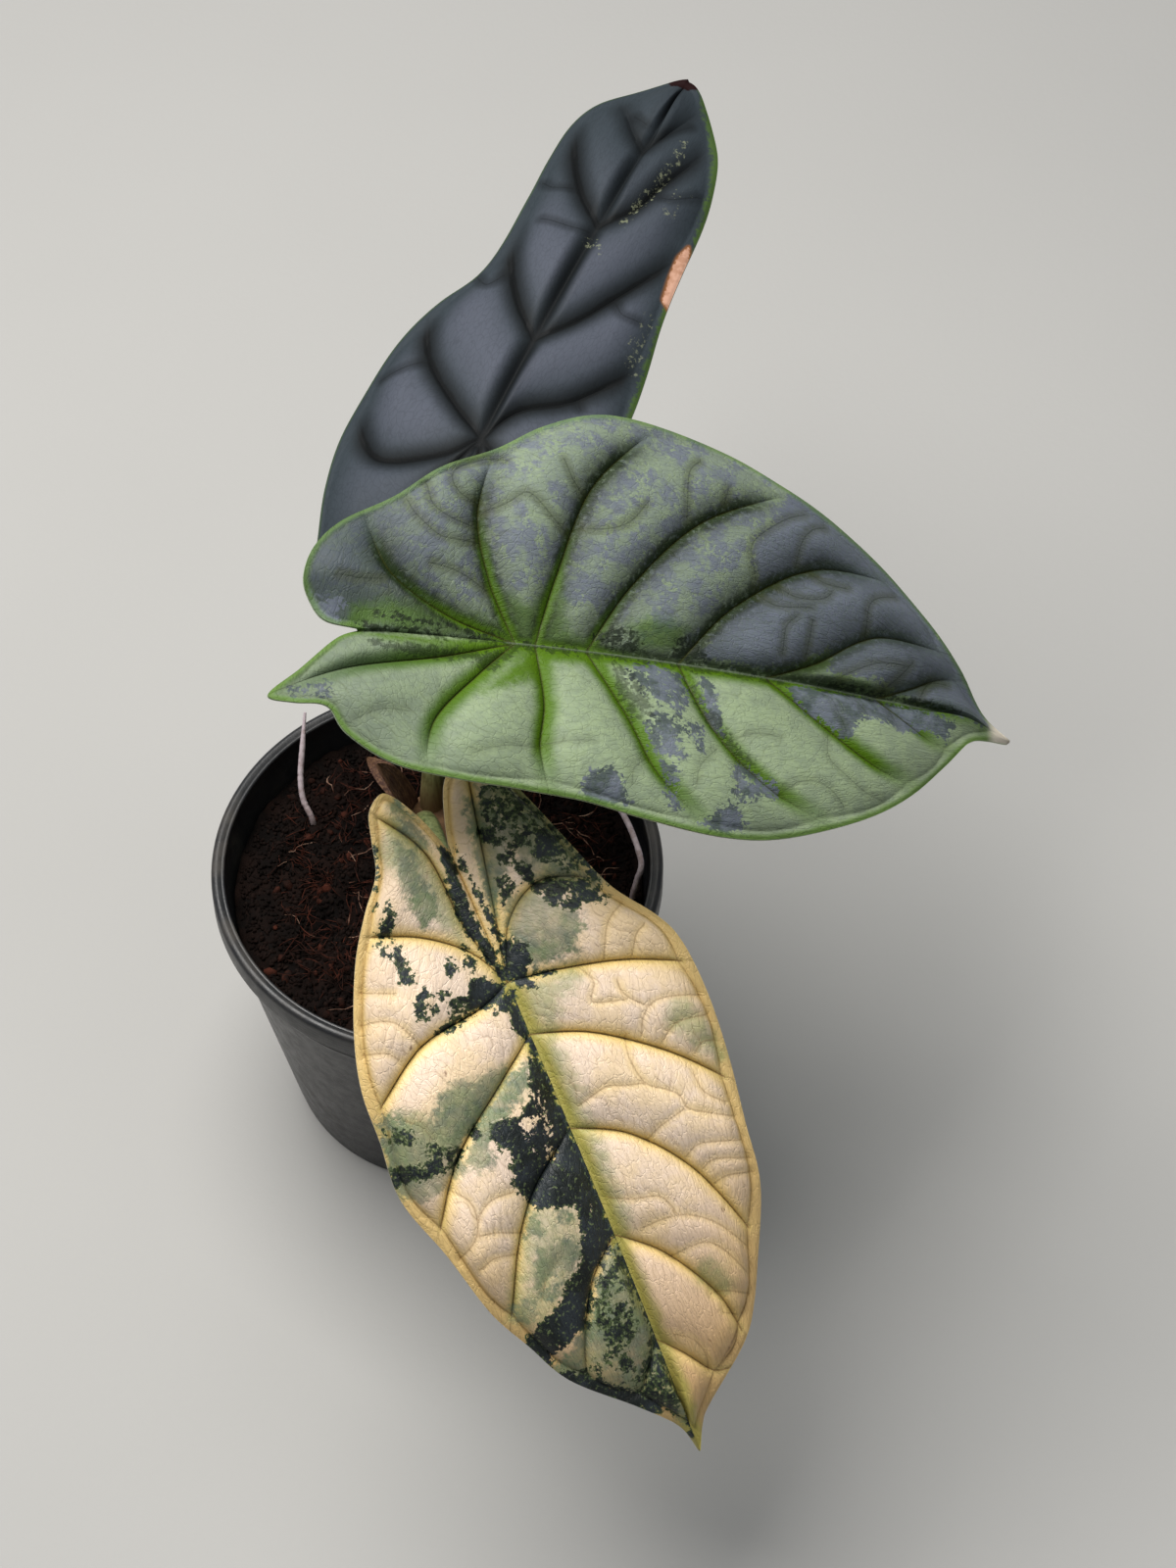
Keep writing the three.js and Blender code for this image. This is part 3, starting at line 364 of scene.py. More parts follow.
BACK_HALVES = (
    {
        "side": 1,
        "margin": (
            (-34, 0), (-41, 3.5), (-49, 8), (-53, 14), (-50, 22), (-44, 26.5), (-37.5, 28.7),
            (-24, 33), (-8, 36.2), (8, 36), (23, 34), (38, 29.5), (50, 23.7), (62, 21.6), (78, 22.1),
            (95, 23.6), (107, 23.2), (117, 19.5), (125.5, 12.4), (133.4, 4.4), (135.3, 0),
        ),
        "veins": (
            (-16, 5.5, -34, 10.5, 3), (-8, 7.5, -13, 23.5, 8.5), (7.5, 11, 19, 23.3, 10.7),
            (42, 8.5, 55, 16.5, 13.4), (82, 8, 93, 15, 16.2), (109, 5, 115, 9.5, 17.6),
        ),
    },
    {
        "side": -1,
        "margin": (
            (-34, 0), (-40, 3.5), (-47, 7), (-52, 12), (-50, 18), (-43, 23.5), (-30, 28), (-14, 31),
            (4, 31.6), (24, 30.6), (39, 28.9), (54, 26.7), (72, 24.9), (89, 23.4), (101, 21.5),
            (112, 18.2), (121.9, 12.5), (129.1, 7.2), (133, 3.4), (135.3, 0),
        ),
        "veins": (
            (-16, 5, -34, 9.5, 3), (-6, 9, -9, 20, 7.45), (11, 5.5, 21, 16.5, 10.1),
            (43, 7.7, 58, 15, 12.4), (83.5, 6.3, 97, 10, 15.4), (110, 2.2, 117, 4.5, 16.7),
        ),
    },
)
BACK_VEINLETS = (
    ((85, 20.5), (83, 17), (84, 12)),
    ((71, 1.5), (70, 6.5), (70.5, 14.5)),
    ((48.5, 23), (45.5, 19), (50.5, 16)),
    ((10.5, 33), (14, 28.5), (17.5, 24.5)),
    ((52.5, -14.5), (49.5, -17.5), (50, -21.5)),
    ((90, -11.5), (91, -14.5), (96.5, -19)),
    ((108.5, -0.5), (112.5, -3.5), (118.5, -7.5)),
    ((113, 3), (115, 7)),
    ((21, -17.5), (19, -19)),
)
BACK_PATCHES = {
    "dark": (
        (4, (133, 3.6, 1.6), (133.6, 0, 2.8), (133, -2.6, 1.4)),
    ),
    "grey": (
        (3, (81, -22.8), (75, -25.5), (66, -27), (58, -27), (60.5, -24), (68.5, -22.6), (76, -21.8)),
    ),
    "pale": (
        (-0.5, (77, -6.2, 0.6), (83.8, -6.9, 0.8), (94.6, -8.4, 0.7), (103, -9, 0.7), (111.4, -9.2, 1)),
        (-0.7, (85, -14.7, 1), (95.6, -15.8, 1.4)),
        (-0.7, (52, -23.2, 1.2), (42.2, -24.1, 1.2), (37, -25.2, 1.2)),
        (-0.5, (65, -4, 0.9), (68.5, 0, 0.8)),
    ),
    "green": (
        (0.8, (16, -31.6, 1.2), (40, -29.2, 1.3), (60, -26.6, 1.4)),
        (1.4, (84, -24.6, 1.5), (101, -22, 1.7), (112, -18.6, 1.8), (122, -12.8, 1.6), (130, -7, 1.2)),
    ),
}

LEAVES = {
    "front": {
        "attach": (21, -83, 160), "droop": 35, "bearing": -70, "aim": -60.9, "length": 124.7,
        "arch_tip": 420, "arch_lobe": 420, "fold": 0.2, "roll": 150, "hook": 0, "swell": 0.52,
        "shoulder": 4.5, "fullness": 1, "sharpness": 1, "starts": (0, 0, 0, 13.5, 38, 66, 94),
        "stalk": {"base": (-3.6, 14.2), "rise": 24, "drop": 46}, "clear_of_dark": 5,
        "halves": FRONT_HALVES, "veinlets": FRONT_VEINLETS, "patches": FRONT_PATCHES,
    },
    "middle": {
        "attach": (23, -24, 215), "droop": 26, "bearing": -37, "aim": 8, "length": 140,
        "arch_tip": 450, "arch_lobe": 500, "fold": 0.3, "roll": 160, "hook": -3.5, "swell": 0.64,
        "shoulder": 12, "fullness": 1, "sharpness": 0.35, "starts": (0, 0, 5, 18, 42, 66, 98),
        "stalk": {"base": (5.2, 18.8), "rise": 40, "drop": 45}, "halves": MIDDLE_HALVES,
        "veinlets": MIDDLE_VEINLETS, "patches": MIDDLE_PATCHES,
    },
    "back": {
        "attach": (13, 58, 195), "droop": -10, "bearing": 80, "aim": 66.2, "length": 135.3,
        "arch_tip": 500, "arch_lobe": 500, "fold": -0.18, "roll": 200, "hook": 0, "swell": 0.85,
        "shoulder": 9, "fullness": 0.8, "sharpness": 0.12, "starts": (0, 0, 0, 33, 74, 104),
        "stalk": {"base": (-1.8, 23.4), "rise": 30, "drop": 40}, "halves": BACK_HALVES,
        "veinlets": BACK_VEINLETS, "patches": BACK_PATCHES,
    },
}

# Surface roots, each from below the soil to its free or buried end

ROOTS = {
    "root_left": {
        "path": (
            (-34.4, 21, 72), (-34.4, 21, 78), (-34.9, 21.6, 82.4), (-37, 24.4, 86.6),
            (-37.6, 28.4, 91.4), (-37, 33.4, 97.4), (-36.1, 39.9, 105),
        ),
        "tip": 0.5,
    },
    "root_right": {
        "path": (
            (36, 34, 72), (36, 34, 78), (36.3, 33.7, 83.5), (42, 26.6, 91), (49.4, 15.2, 92.5),
            (54, 1.6, 91), (53, -1.8, 86), (52, -3.1, 81.5), (51.8, -3.2, 77.5), (51.8, -3.2, 73),
        ),
        "tip": 1,
    },
}


def linear(red, green, blue):
    """An sRGB colour of 0 to 255 as linear light."""
    shares = (channel / 255 for channel in (red, green, blue))
    return tuple(s / 12.92 if s <= 0.04045 else ((s + 0.055) / 1.055) ** 2.4 for s in shares)


def colour(name, description, *rgb):
    """A colour property whose default is given in sRGB."""
    return FloatVectorProperty(
        name=name, description=description, default=linear(*rgb), subtype="COLOR", min=0, max=1
    )


def length(name, description, millimetres):
    """A length property whose default is given in millimetres."""
    return FloatProperty(
        name=name, description=description, default=millimetres * MM, unit="LENGTH", precision=5
    )


class PotLook(bpy.types.PropertyGroup):
    """The nursery pot."""

    segments: IntProperty(name="Segments", description="Faces round the pot", default=144, min=24)
    wall: length("Wall", "Thickness of the moulded wall", 1.4)
    plastic: colour("Plastic", "Black moulded plastic", 24, 25, 27)
    dust: colour("Dust", "Dried dust and water marks on the plastic", 92, 84, 74)


class SoilLook(bpy.types.PropertyGroup):
    """The peat with its coir fibres and crumbs."""

    fibre_length: length("Fibre length", "Length of a coir fibre", 13)
    fibre_thickness: length("Fibre thickness", "Radius of a coir fibre", 0.16)
    crumb_size: length("Crumb size", "Radius of a peat crumb", 0.95)
    chip_size: length("Chip size", "Half length of a bark chip", 1.7)
    # Peat and dry peat are partly the damp peat's own near-black and partly painted shade for the shade
    # that the leaves cast into the pot.
    peat: colour("Peat", "Damp peat", 10, 7, 6)
    peat_light: colour("Dry peat", "Peat that has dried on top", 26, 17, 14)
    coir: colour("Coir", "Reddish coir fibre", 66, 34, 25)
    coir_pale: colour("Pale coir", "Bleached coir fibre", 150, 122, 104)


class FrontLeafLook(bpy.types.PropertyGroup):
    """Colours of the cream leaf in front."""

    cell: colour("Cushions", "Pinkish cream in the middle of the cushions", 236, 213, 191)
    flush: colour("Flush", "Yellow cream beside the veins", 234, 203, 132)
    # The peach is partly the leaf's own warmer tint and partly painted shade on the tip, which leans away
    # from the light.
    tip_peach_and_shade: colour("Peach", "Warmer cream towards the tip", 208, 166, 112)
    olive: colour("Olive", "Olive tint along the midrib", 150, 146, 62)
    line: colour("Vein lines", "Brown lines of the veins", 122, 88, 48)
    dark: colour("Dark patches", "Near-black green", 16, 23, 20)
    slate: colour("Slate", "Bluish bloom on the dark patches", 44, 51, 56)
    grey: colour("Grey patches", "Soft grey-green patches", 108, 116, 96)
    green: colour("Green patches", "Light green of the thin patches", 122, 138, 86)
    edge: colour("Margin", "Tan band outside the collecting vein", 178, 150, 98)
    fringe: colour("Fringe", "Thin green rim of the dark patches", 60, 74, 40)
    spot: colour("Spots", "Small dead spots", 96, 48, 22)
    underside: colour("Underside", "Pale lower face", 202, 196, 160)


class MiddleLeafLook(bpy.types.PropertyGroup):
    """Colours of the sage green leaf in the middle."""

    cell: colour("Cushions", "Pale sage of the cushions", 132, 147, 114)
    mottle: colour("Mottle", "Pale grey-green between the slate specks", 116, 129, 106)
    vivid: colour("Vivid green", "Bright green beside the veins", 66, 96, 4)
    line: colour("Vein lines", "Brownish green lines of the veins", 50, 54, 14)
    slate: colour("Slate", "Blue-grey of the slate specks", 93, 98, 112)
    # Dark slate is both the darker clouds on the slate patches and painted shade laid on the lobes.
    shadow: colour("Dark slate", "Darker clouds on the slate patches", 56, 64, 68)
    dark: colour("Dark green", "Near-black green in the grooves", 18, 27, 13)
    fern: colour("Fern", "Dull green that shows through the slate", 86, 106, 66)
    edge: colour("Margin", "Green margin", 78, 108, 34)
    tip: colour("Tip", "Whitish end of the drip tip", 214, 204, 186)
    underside: colour("Underside", "Pale lower face", 172, 188, 154)


class BackLeafLook(bpy.types.PropertyGroup):
    """Colours of the dark slate leaf at the back."""

    cell: colour("Cushions", "Slate of the cushions", 72, 76, 86)
    # Painted shade: this darker slate lies between the cushions, on the lobes and towards the tip.
    shaded_slate: colour("Bloom", "Darker slate between the cushions", 46, 53, 58)
    dark: colour("Grooves", "Near-black of the vein grooves", 14, 16, 17)
    fleck: colour("Flecks", "Small cream flecks", 132, 136, 108)
    burn: colour("Burnt patch", "Dry patch on the margin", 172, 134, 114)
    scorch: colour("Scorch", "Brown outline of the dry patch", 118, 76, 42)
    dead: colour("Dead tip", "Dark dead tip", 26, 9, 9)
    edge: colour("Margin", "Green margin", 62, 84, 32)
    underside: colour("Underside", "Pale lower face", 150, 164, 142)


class BladeLook(bpy.types.PropertyGroup):
    """Shape of all three blades."""

    spacing: length("Spacing", "Space between mesh points round the margin", 0.83)
    steps: IntProperty(name="Steps", description="Faces from the midrib to the margin", default=72)
    thickness: length("Thickness", "Thickness of the blade", 1.2)
    margin: length("Margin", "Thickness of the blade at its edge", 0.8)
    quilting: FloatProperty(name="Quilting", description="How much fuller than the solids", default=1.15)
    crease: length("Crease", "Depth of the fine groove along a vein", 0.3)
    veinlet: length("Veinlet", "Depth of the smaller creases", 0.55)
    wrinkle: length("Wrinkle", "Depth of the creases that run from vein to vein", 0.16)
    rib: length("Rib", "How far the midrib stands out below", 1.4)


class StemLook(bpy.types.PropertyGroup):
    """Stalks, stem base, roots and papery scales."""

    stalk_base: length("Stalk base", "Radius of a stalk at its foot", 3.3)
    stalk_top: length("Stalk top", "Radius of a stalk below its blade", 2.1)
    root_radius: length("Root", "Radius of a surface root", 0.8)
    scale_thickness: length("Scale", "Thickness of a papery scale", 0.7)
    # The stalk green is partly the stalk's own pale green and partly painted shade for the shade under
    # the leaves.
    stalk: colour("Stalk", "Pale green stalk", 122, 130, 84)
    stalk_dark: colour("Stalk streaks", "Darker green streaks on the stalk", 66, 76, 40)
    sheath: colour("Sheath", "Pinkish tan of the stalk's sheath", 112, 84, 58)
    bark: colour("Stem base", "Brown stem base", 84, 62, 42)
    root: colour("Root", "Lilac white root", 178, 164, 168)
    root_dark: colour("Root stain", "Peat stain on the root", 112, 88, 76)
    # Scale and scale edge browns are partly the dry scale's own colour and partly painted shade for the
    # shade under the leaves.
    scale: colour("Scale", "Dry brown scale", 60, 36, 27)
    scale_pale: colour("Scale edge", "Bleached edge and fibres of the scale", 104, 76, 54)


class StageLook(bpy.types.PropertyGroup):
    """Floor, light and camera."""

    floor: colour("Floor", "Plain pale floor", 168, 167, 164)
    sky: colour("Surround", "Soft light from all round", 224, 232, 244)
    sky_strength: FloatProperty(name="Surround", description="Strength of the surround", default=0.2)
    key_power: FloatProperty(name="Key", description="Power of the large soft light", default=25)
    fill_power: FloatProperty(name="Fill", description="Power of the fill light", default=2.5)
    lens: FloatProperty(name="Lens", description="Focal length in millimetres", default=85)
    pitch: FloatProperty(
        name="Pitch", description="How far the camera looks down",
        default=math.radians(53.62), subtype="ANGLE",
    )


# Small helpers


def lerp(a, b, share):
    return a + (b - a) * share


def smoothstep(value, low, high):
    share = np.clip((value - low) / (high - low), 0, 1)
    return share * share * (3 - 2 * share)


def bell(value, width):
    """One at zero, falling to nothing over a few widths."""
    return np.exp(-((value / width) ** 2))


def spline(knots, at):
    """Points at shares of a curve through the knots, with slopes from the neighbours."""
    knots = np.asarray(knots, float)
    last = knots.shape[-2] - 1
    spot = np.clip(np.asarray(at, float), 0, 1) * last
    span = np.minimum(spot.astype(int), last - 1)
    w = (spot - span)[..., None]
    before, start, end, after = (
        np.take(knots, np.clip(span + shift, 0, last), axis=-2) for shift in (-1, 0, 1, 2)
    )
    leave, arrive = (end - before) / 2, (after - start) / 2
    cubic = (2 * start - 2 * end + leave + arrive) * w**3
    return cubic + (3 * end - 3 * start - 2 * leave - arrive) * w**2 + leave * w + start


def from_segment(points, a, b):
    """How far along a segment each point is, and where it lies from the nearest spot on it."""
    span = b - a
    share = np.clip((points - a) @ span / max(span @ span, 1e-9), 0, 1)
    return share, points - a - share[:, None] * span


def nearest(points, line, radii=None):
    """Least distance from points to a line, less the line's radius there."""
    line = np.asarray(line, float)
    radii = np.zeros(len(line)) if radii is None else np.asarray(radii, float)
    best = np.full(len(points), np.inf)
    for a, b, ra, rb in zip(line[:-1], line[1:], radii[:-1], radii[1:]):
        share, away = from_segment(points, a, b)
        best = np.minimum(best, np.hypot(*away.T) - lerp(ra, rb, share))
    return best


def depth_inside(points, outline):
    """How far points are inside a closed outline; less than zero outside it."""
    loop = np.vstack([outline, outline[:1]])
    x, y = points.T
    inside = np.zeros(len(points), bool)
    for (ax, ay), (bx, by) in zip(loop[:-1], loop[1:]):
        if ay != by:
            inside ^= ((ay > y) != (by > y)) & (x < ax + (bx - ax) * (y - ay) / (by - ay))
    return nearest(points, loop) * np.where(inside, 1, -1)


def new_object(name, data):
    obj = bpy.data.objects.new(name, data)
    bpy.context.scene.collection.objects.link(obj)
    return obj


def new_mesh(name, points, faces, smooth_angle=50):
    """A mesh object at the origin from points in millimetres."""
    mesh = bpy.data.meshes.new(name)
    points = np.asarray(points, float) * MM
    mesh.from_pydata(points.tolist(), [], [tuple(map(int, face)) for face in faces])
    mesh.validate()
    mesh.shade_smooth()
    mesh.set_sharp_from_angle(angle=math.radians(smooth_angle))
    return new_object(name, mesh)


def set_attribute(obj, name, values):
    layer = obj.data.attributes.new(name, "FLOAT", "POINT")
    layer.data.foreach_set("value", np.asarray(values, np.float32))


def hand_over(obj, material, slot, *nodes):
    """Gives a finished piece its material and its place in the frame."""
    obj.data.materials.clear()
    obj.data.materials.append(material)
    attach(obj, BODY)
    if nodes:
        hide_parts(*nodes)
    return obj


def baked(obj, name):
    """A plain mesh object from obj with its modifiers applied; obj is removed."""
    graph = bpy.context.evaluated_depsgraph_get()
    mesh = bpy.data.meshes.new_from_object(obj.evaluated_get(graph))
    bpy.data.objects.remove(obj)
    mesh.name = name
    return new_object(name, mesh)


# Node trees

SEED_STEP = 0.13


class Wiring:
    """Adds nodes to one tree. Most methods return the output of what they added."""

    def __init__(self, tree, material=None):
        self.tree = tree
        self.material = material

    def node(self, kind, sockets=None, **settings):
        node = self.tree.nodes.new(kind)
        place = len(self.tree.nodes)
        node.location = (220 * (place // 4), -260 * (place % 4))
        for name, value in settings.items():
            setattr(node, name, value)
        for key, value in (sockets or {}).items():
            if isinstance(value, bpy.types.NodeSocket):
                self.tree.links.new(value, node.inputs[key])
            else:
                node.inputs[key].default_value = value
        return node

    def maths(self, operation, a, b=0.0, c=0.0):
        return self.node("ShaderNodeMath", {0: a, 1: b, 2: c}, operation=operation).outputs[0]

    def times(self, a, b):
        return self.maths("MULTIPLY", a, b)

    def most(self, a, b):
        return self.maths("MAXIMUM", a, b)

    def without(self, a, b):
        """The part of mask a that mask b leaves free."""
        return self.times(a, self.maths("SUBTRACT", 1.0, b))

    def swing(self, value, reach):
        """A value of 0 to 1 as one from less to more than zero by the reach."""
        return self.maths("MULTIPLY_ADD", value, 2 * reach, -reach)

    def vector(self, operation, a, b):
        sockets = {0: a, "Scale" if operation == "SCALE" else 1: b}
        return self.node("ShaderNodeVectorMath", sockets, operation=operation).outputs[0]

    def mix(self, share, a, b):
        sockets = {0: share, 6: rgba(a), 7: rgba(b)}
        return self.node("ShaderNodeMix", sockets, data_type="RGBA").outputs[2]

    def ramp(self, value, low, high, at_low=0.0, at_high=1.0):
        sockets = {0: value, 1: low, 2: high, 3: at_low, 4: at_high}
        node = self.node("ShaderNodeMapRange", sockets, interpolation_type="SMOOTHSTEP")
        return node.outputs[0]

    def noise(self, vector, scale, detail=3.0, roughness=0.55, seed=0.0):
        """Cloudy noise; each seed moves it to another place in the same cloud."""
        if isinstance(seed, bpy.types.NodeSocket) or seed:
            shift = seed if isinstance(seed, bpy.types.NodeSocket) else (seed, seed, seed)
            sockets = {0: shift, 1: (SEED_STEP, SEED_STEP, SEED_STEP), 2: vector}
            vector = self.node("ShaderNodeVectorMath", sockets, operation="MULTIPLY_ADD").outputs[0]
        sockets = {"Vector": vector, "Scale": scale, "Detail": detail, "Roughness": roughness}
        return self.node("ShaderNodeTexNoise", sockets).outputs[0]

    def attribute(self, name, output="Fac"):
        return self.node("ShaderNodeAttribute", attribute_name=name).outputs[output]

    def object_place(self):
        return self.node("ShaderNodeTexCoord").outputs["Object"]

    def group(self, name, sockets):
        """A shared node group, built the first time that it is asked for."""
        tree = bpy.data.node_groups.get(name) or GROUP_MAKERS[name]()
        return self.node("ShaderNodeGroup", sockets, node_tree=tree).outputs

    def scaled(self, vector, *scale):
        sockets = {"Vector": vector, "Scale": scale}
        return self.node("ShaderNodeMapping", sockets).outputs[0]


def rgba(value):
    """A colour as a socket takes it; sockets and single numbers pass through."""
    if isinstance(value, bpy.types.NodeSocket):
        return value
    return (*value, 1.0) if len(value) == 3 else tuple(value)


def new_group(name, inputs, *outputs):
    """The wiring and the given values of a new shader group whose sockets are all numbers."""
    tree = bpy.data.node_groups.new(name, "ShaderNodeTree")
    for label, default in inputs.items():
        socket = tree.interface.new_socket(label, in_out="INPUT", socket_type="NodeSocketFloat")
        socket.default_value = default
    for label in outputs:
        tree.interface.new_socket(label, in_out="OUTPUT", socket_type="NodeSocketFloat")
    wiring = Wiring(tree)
    return wiring, wiring.node("NodeGroupInput").outputs


def patch_group():
    """A signed distance to a patch, made ragged by noise, as a mask and its core."""
    inputs = {
        "Field": 0.0, "Ragged": 1.0, "Grain": 0.5, "Soft": 0.2, "Seed": 0.0, "Scale": 330.0,
        "Cells": 0.5,
    }
    w, given = new_group("ragged_patch", inputs, "Mask", "Core")
    cloud = w.noise(w.object_place(), given["Scale"], 6.0, 0.68, given["Seed"])
    field = w.maths("MULTIPLY_ADD", w.swing(cloud, 3.0), given["Ragged"], given["Field"])
    field = w.maths("MULTIPLY_ADD", w.swing(given["Cells"], 1.0), given["Grain"], field)
    mask = w.ramp(field, w.times(given["Soft"], -1.0), given["Soft"])
    w.node("NodeGroupOutput", {"Mask": mask, "Core": w.ramp(field, 0.1, 0.9)})
    return w.tree


def flush_group():
    """One on a vein, nothing past a width that wanders."""
    inputs = {"Gap": 0.0, "Width": 3.0, "Wander": 0.5, "Seed": 0.0}
    w, given = new_group("vein_flush", inputs, "Mask")
    drift = w.swing(w.noise(w.object_place(), 240, 3.0, 0.6, given["Seed"]), 1.0)
    gap = w.maths("MULTIPLY_ADD", drift, given["Wander"], given["Gap"])
    mask = w.ramp(gap, w.times(given["Width"], 0.2), given["Width"], 1.0, 0.0)
    w.node("NodeGroupOutput", {"Mask": mask})
    return w.tree


def skin_group():
    """Wrinkles that run from vein to vein, pores and a faint net: a height and two masks."""
    w, given = new_group("leaf_skin", {"Pore": 0.25}, "Height", "Net", "Streak")
    place = w.object_place()
    drift = w.times(w.noise(place, 120, 3.0), 5.0)
    flow = w.vector("ADD", w.attribute("flow", "Vector"), drift)
    streak = w.noise(w.scaled(flow, 0.17, 1.1, 1.0), 1.0, 4.0, 0.6)
    sockets = {"Vector": w.scaled(flow, 0.3, 0.6, 1.0), "Scale": 1.0}
    cells = w.node("ShaderNodeTexVoronoi", sockets, feature="DISTANCE_TO_EDGE")
    lines = w.ramp(cells.outputs["Distance"], 0.0, 0.1, 1.0, 0.0)
    pores = w.times(w.noise(place, 2600, 3.0, 0.7), given["Pore"])
    height = w.maths("MULTIPLY_ADD", lines, -0.25, w.maths("ADD", streak, pores))
    streaks = w.ramp(streak, 0.36, 0.64)
    w.node("NodeGroupOutput", {"Height": height, "Net": lines, "Streak": streaks})
    return w.tree


def grime_group():
    """Streaks and specks of dust, more where the surface faces up."""
    w, given = new_group("grime", {"Amount": 0.5, "Scale": 60.0}, "Mask")
    place = w.object_place()
    up = w.node("ShaderNodeSeparateXYZ", {0: w.node("ShaderNodeNewGeometry").outputs["Normal"]})
    cloud = w.noise(place, given["Scale"], 5.0, 0.65)
    speck = w.ramp(w.noise(place, 1500, 2.0, 0.5, 3.0), 0.62, 0.74)
    level = w.maths("MULTIPLY_ADD", up.outputs["Z"], 0.12, cloud)
    mask = w.most(w.ramp(level, 0.52, 0.78), w.times(speck, 0.6))
    w.node("NodeGroupOutput", {"Mask": w.times(mask, given["Amount"])})
    return w.tree


GROUP_MAKERS = {
    "ragged_patch": patch_group, "vein_flush": flush_group, "leaf_skin": skin_group,
    "grime": grime_group,
}


def new_material(name):
    """The wiring of a new material with an empty tree."""
    material = bpy.data.materials.new(name)
    material.use_nodes = True
    material.node_tree.nodes.clear()
    return Wiring(material.node_tree, material)


def close_material(w, base, roughness, height, depth, specular):
    """The material, ended in a Principled BSDF with a bump; depth is the bump's reach in mm."""
    bump = w.node("ShaderNodeBump", {"Height": height, "Distance": depth * MM, "Strength": 1.0})
    sockets = {
        "Base Color": base, "Roughness": roughness, "Normal": bump.outputs[0],
        "Specular IOR Level": specular,
    }
    surface = w.node("ShaderNodeBsdfPrincipled", sockets)
    w.node("ShaderNodeOutputMaterial", {"Surface": surface.outputs[0]})
    return w.material


class LeafPaint:
    """The attributes of a blade as sockets, its masks, and the colour laid on so far."""

    def __init__(self, w):
        self.w = w
        names = (
            "vein_gap", "veinlet_gap", "veinlet_side", "midrib_gap", "edge_gap", "ring_gap",
            "hub_gap", "collective", "upper_half", "puff", "tip_share", "lobe_share", "rung",
            "rung_keep",
        )
        self.gap = {name: w.attribute(name) for name in names}
        self.skin = w.group("leaf_skin", {"Pore": 0.25})
        cells = w.node("ShaderNodeTexVoronoi", {"Vector": w.object_place(), "Scale": 1350.0})
        self.cells = w.node("ShaderNodeSeparateColor", {0: cells.outputs["Color"]}).outputs["Red"]
        self.base = None

    def lay(self, colour, mask, share=None):
        """Lays a colour on the base where the mask is, thinned to a share of it."""
        mask = mask if share is None else self.w.times(mask, share)
        self.base = self.w.mix(mask, self.base, colour)

    def by(self, name, *limits):
        return self.w.ramp(self.gap[name], *limits)

    def halves(self, lower, upper):
        """One value on the lower half of the blade, another on the upper."""
        return self.by("upper_half", 0.0, 1.0, lower, upper)

    def patch(self, kind, ragged, grain, soft, seed, scale=330.0):
        sockets = {
            "Field": self.w.attribute(f"patch_{kind}"), "Ragged": ragged, "Grain": grain,
            "Soft": soft, "Seed": seed, "Scale": scale, "Cells": self.cells,
        }
        return self.w.group("ragged_patch", sockets)

    def mask(self, *settings):
        return self.patch(*settings)["Mask"]

    def cloud(self, scale, low=0.42, high=0.62, seed=0.0):
        return self.w.ramp(self.w.noise(self.w.object_place(), scale, 5.0, 0.6, seed), low, high)

    def flush(self, name, width, wander, seed=0.0):
        sockets = {"Gap": self.gap[name], "Width": width, "Wander": wander, "Seed": seed}
        return self.w.group("vein_flush", sockets)["Mask"]

    def line(self, name, width, strength):
        return self.w.ramp(self.w.maths("ABSOLUTE", self.gap[name]), 0.0, width, strength, 0.0)

    def veinlets(self, width, strength):
        near = self.by("veinlet_gap", 0.5, 1.1, 1.0, 0.0)
        return self.w.times(self.line("veinlet_side", width, strength), near)

    def rungs(self, strength):
        turn = self.w.maths("PINGPONG", self.gap["rung"], 0.5)
        return self.w.times(self.w.ramp(turn, 0.0, 0.09, strength, 0.0), self.gap["rung_keep"])

    def ring(self, width, strength):
        return self.w.times(self.line("ring_gap", width, strength), self.gap["collective"])

    def outside(self, strength):
        """The band between the collecting vein and the edge."""
        return self.by("ring_gap", -0.5, 0.4, strength, 0.0)

    def finish(self, underside, roughness, specular, depth):
        w = self.w
        below = w.mix(w.times(self.skin["Net"], 0.25), underside, self.base)
        base = w.mix(w.attribute("underside"), self.base, below)
        clouds = w.noise(w.object_place(), 90, 3.0)
        rough = w.maths("MULTIPLY_ADD", clouds, 0.16, roughness - 0.08)
        return close_material(w, base, rough, self.skin["Height"], depth, specular)


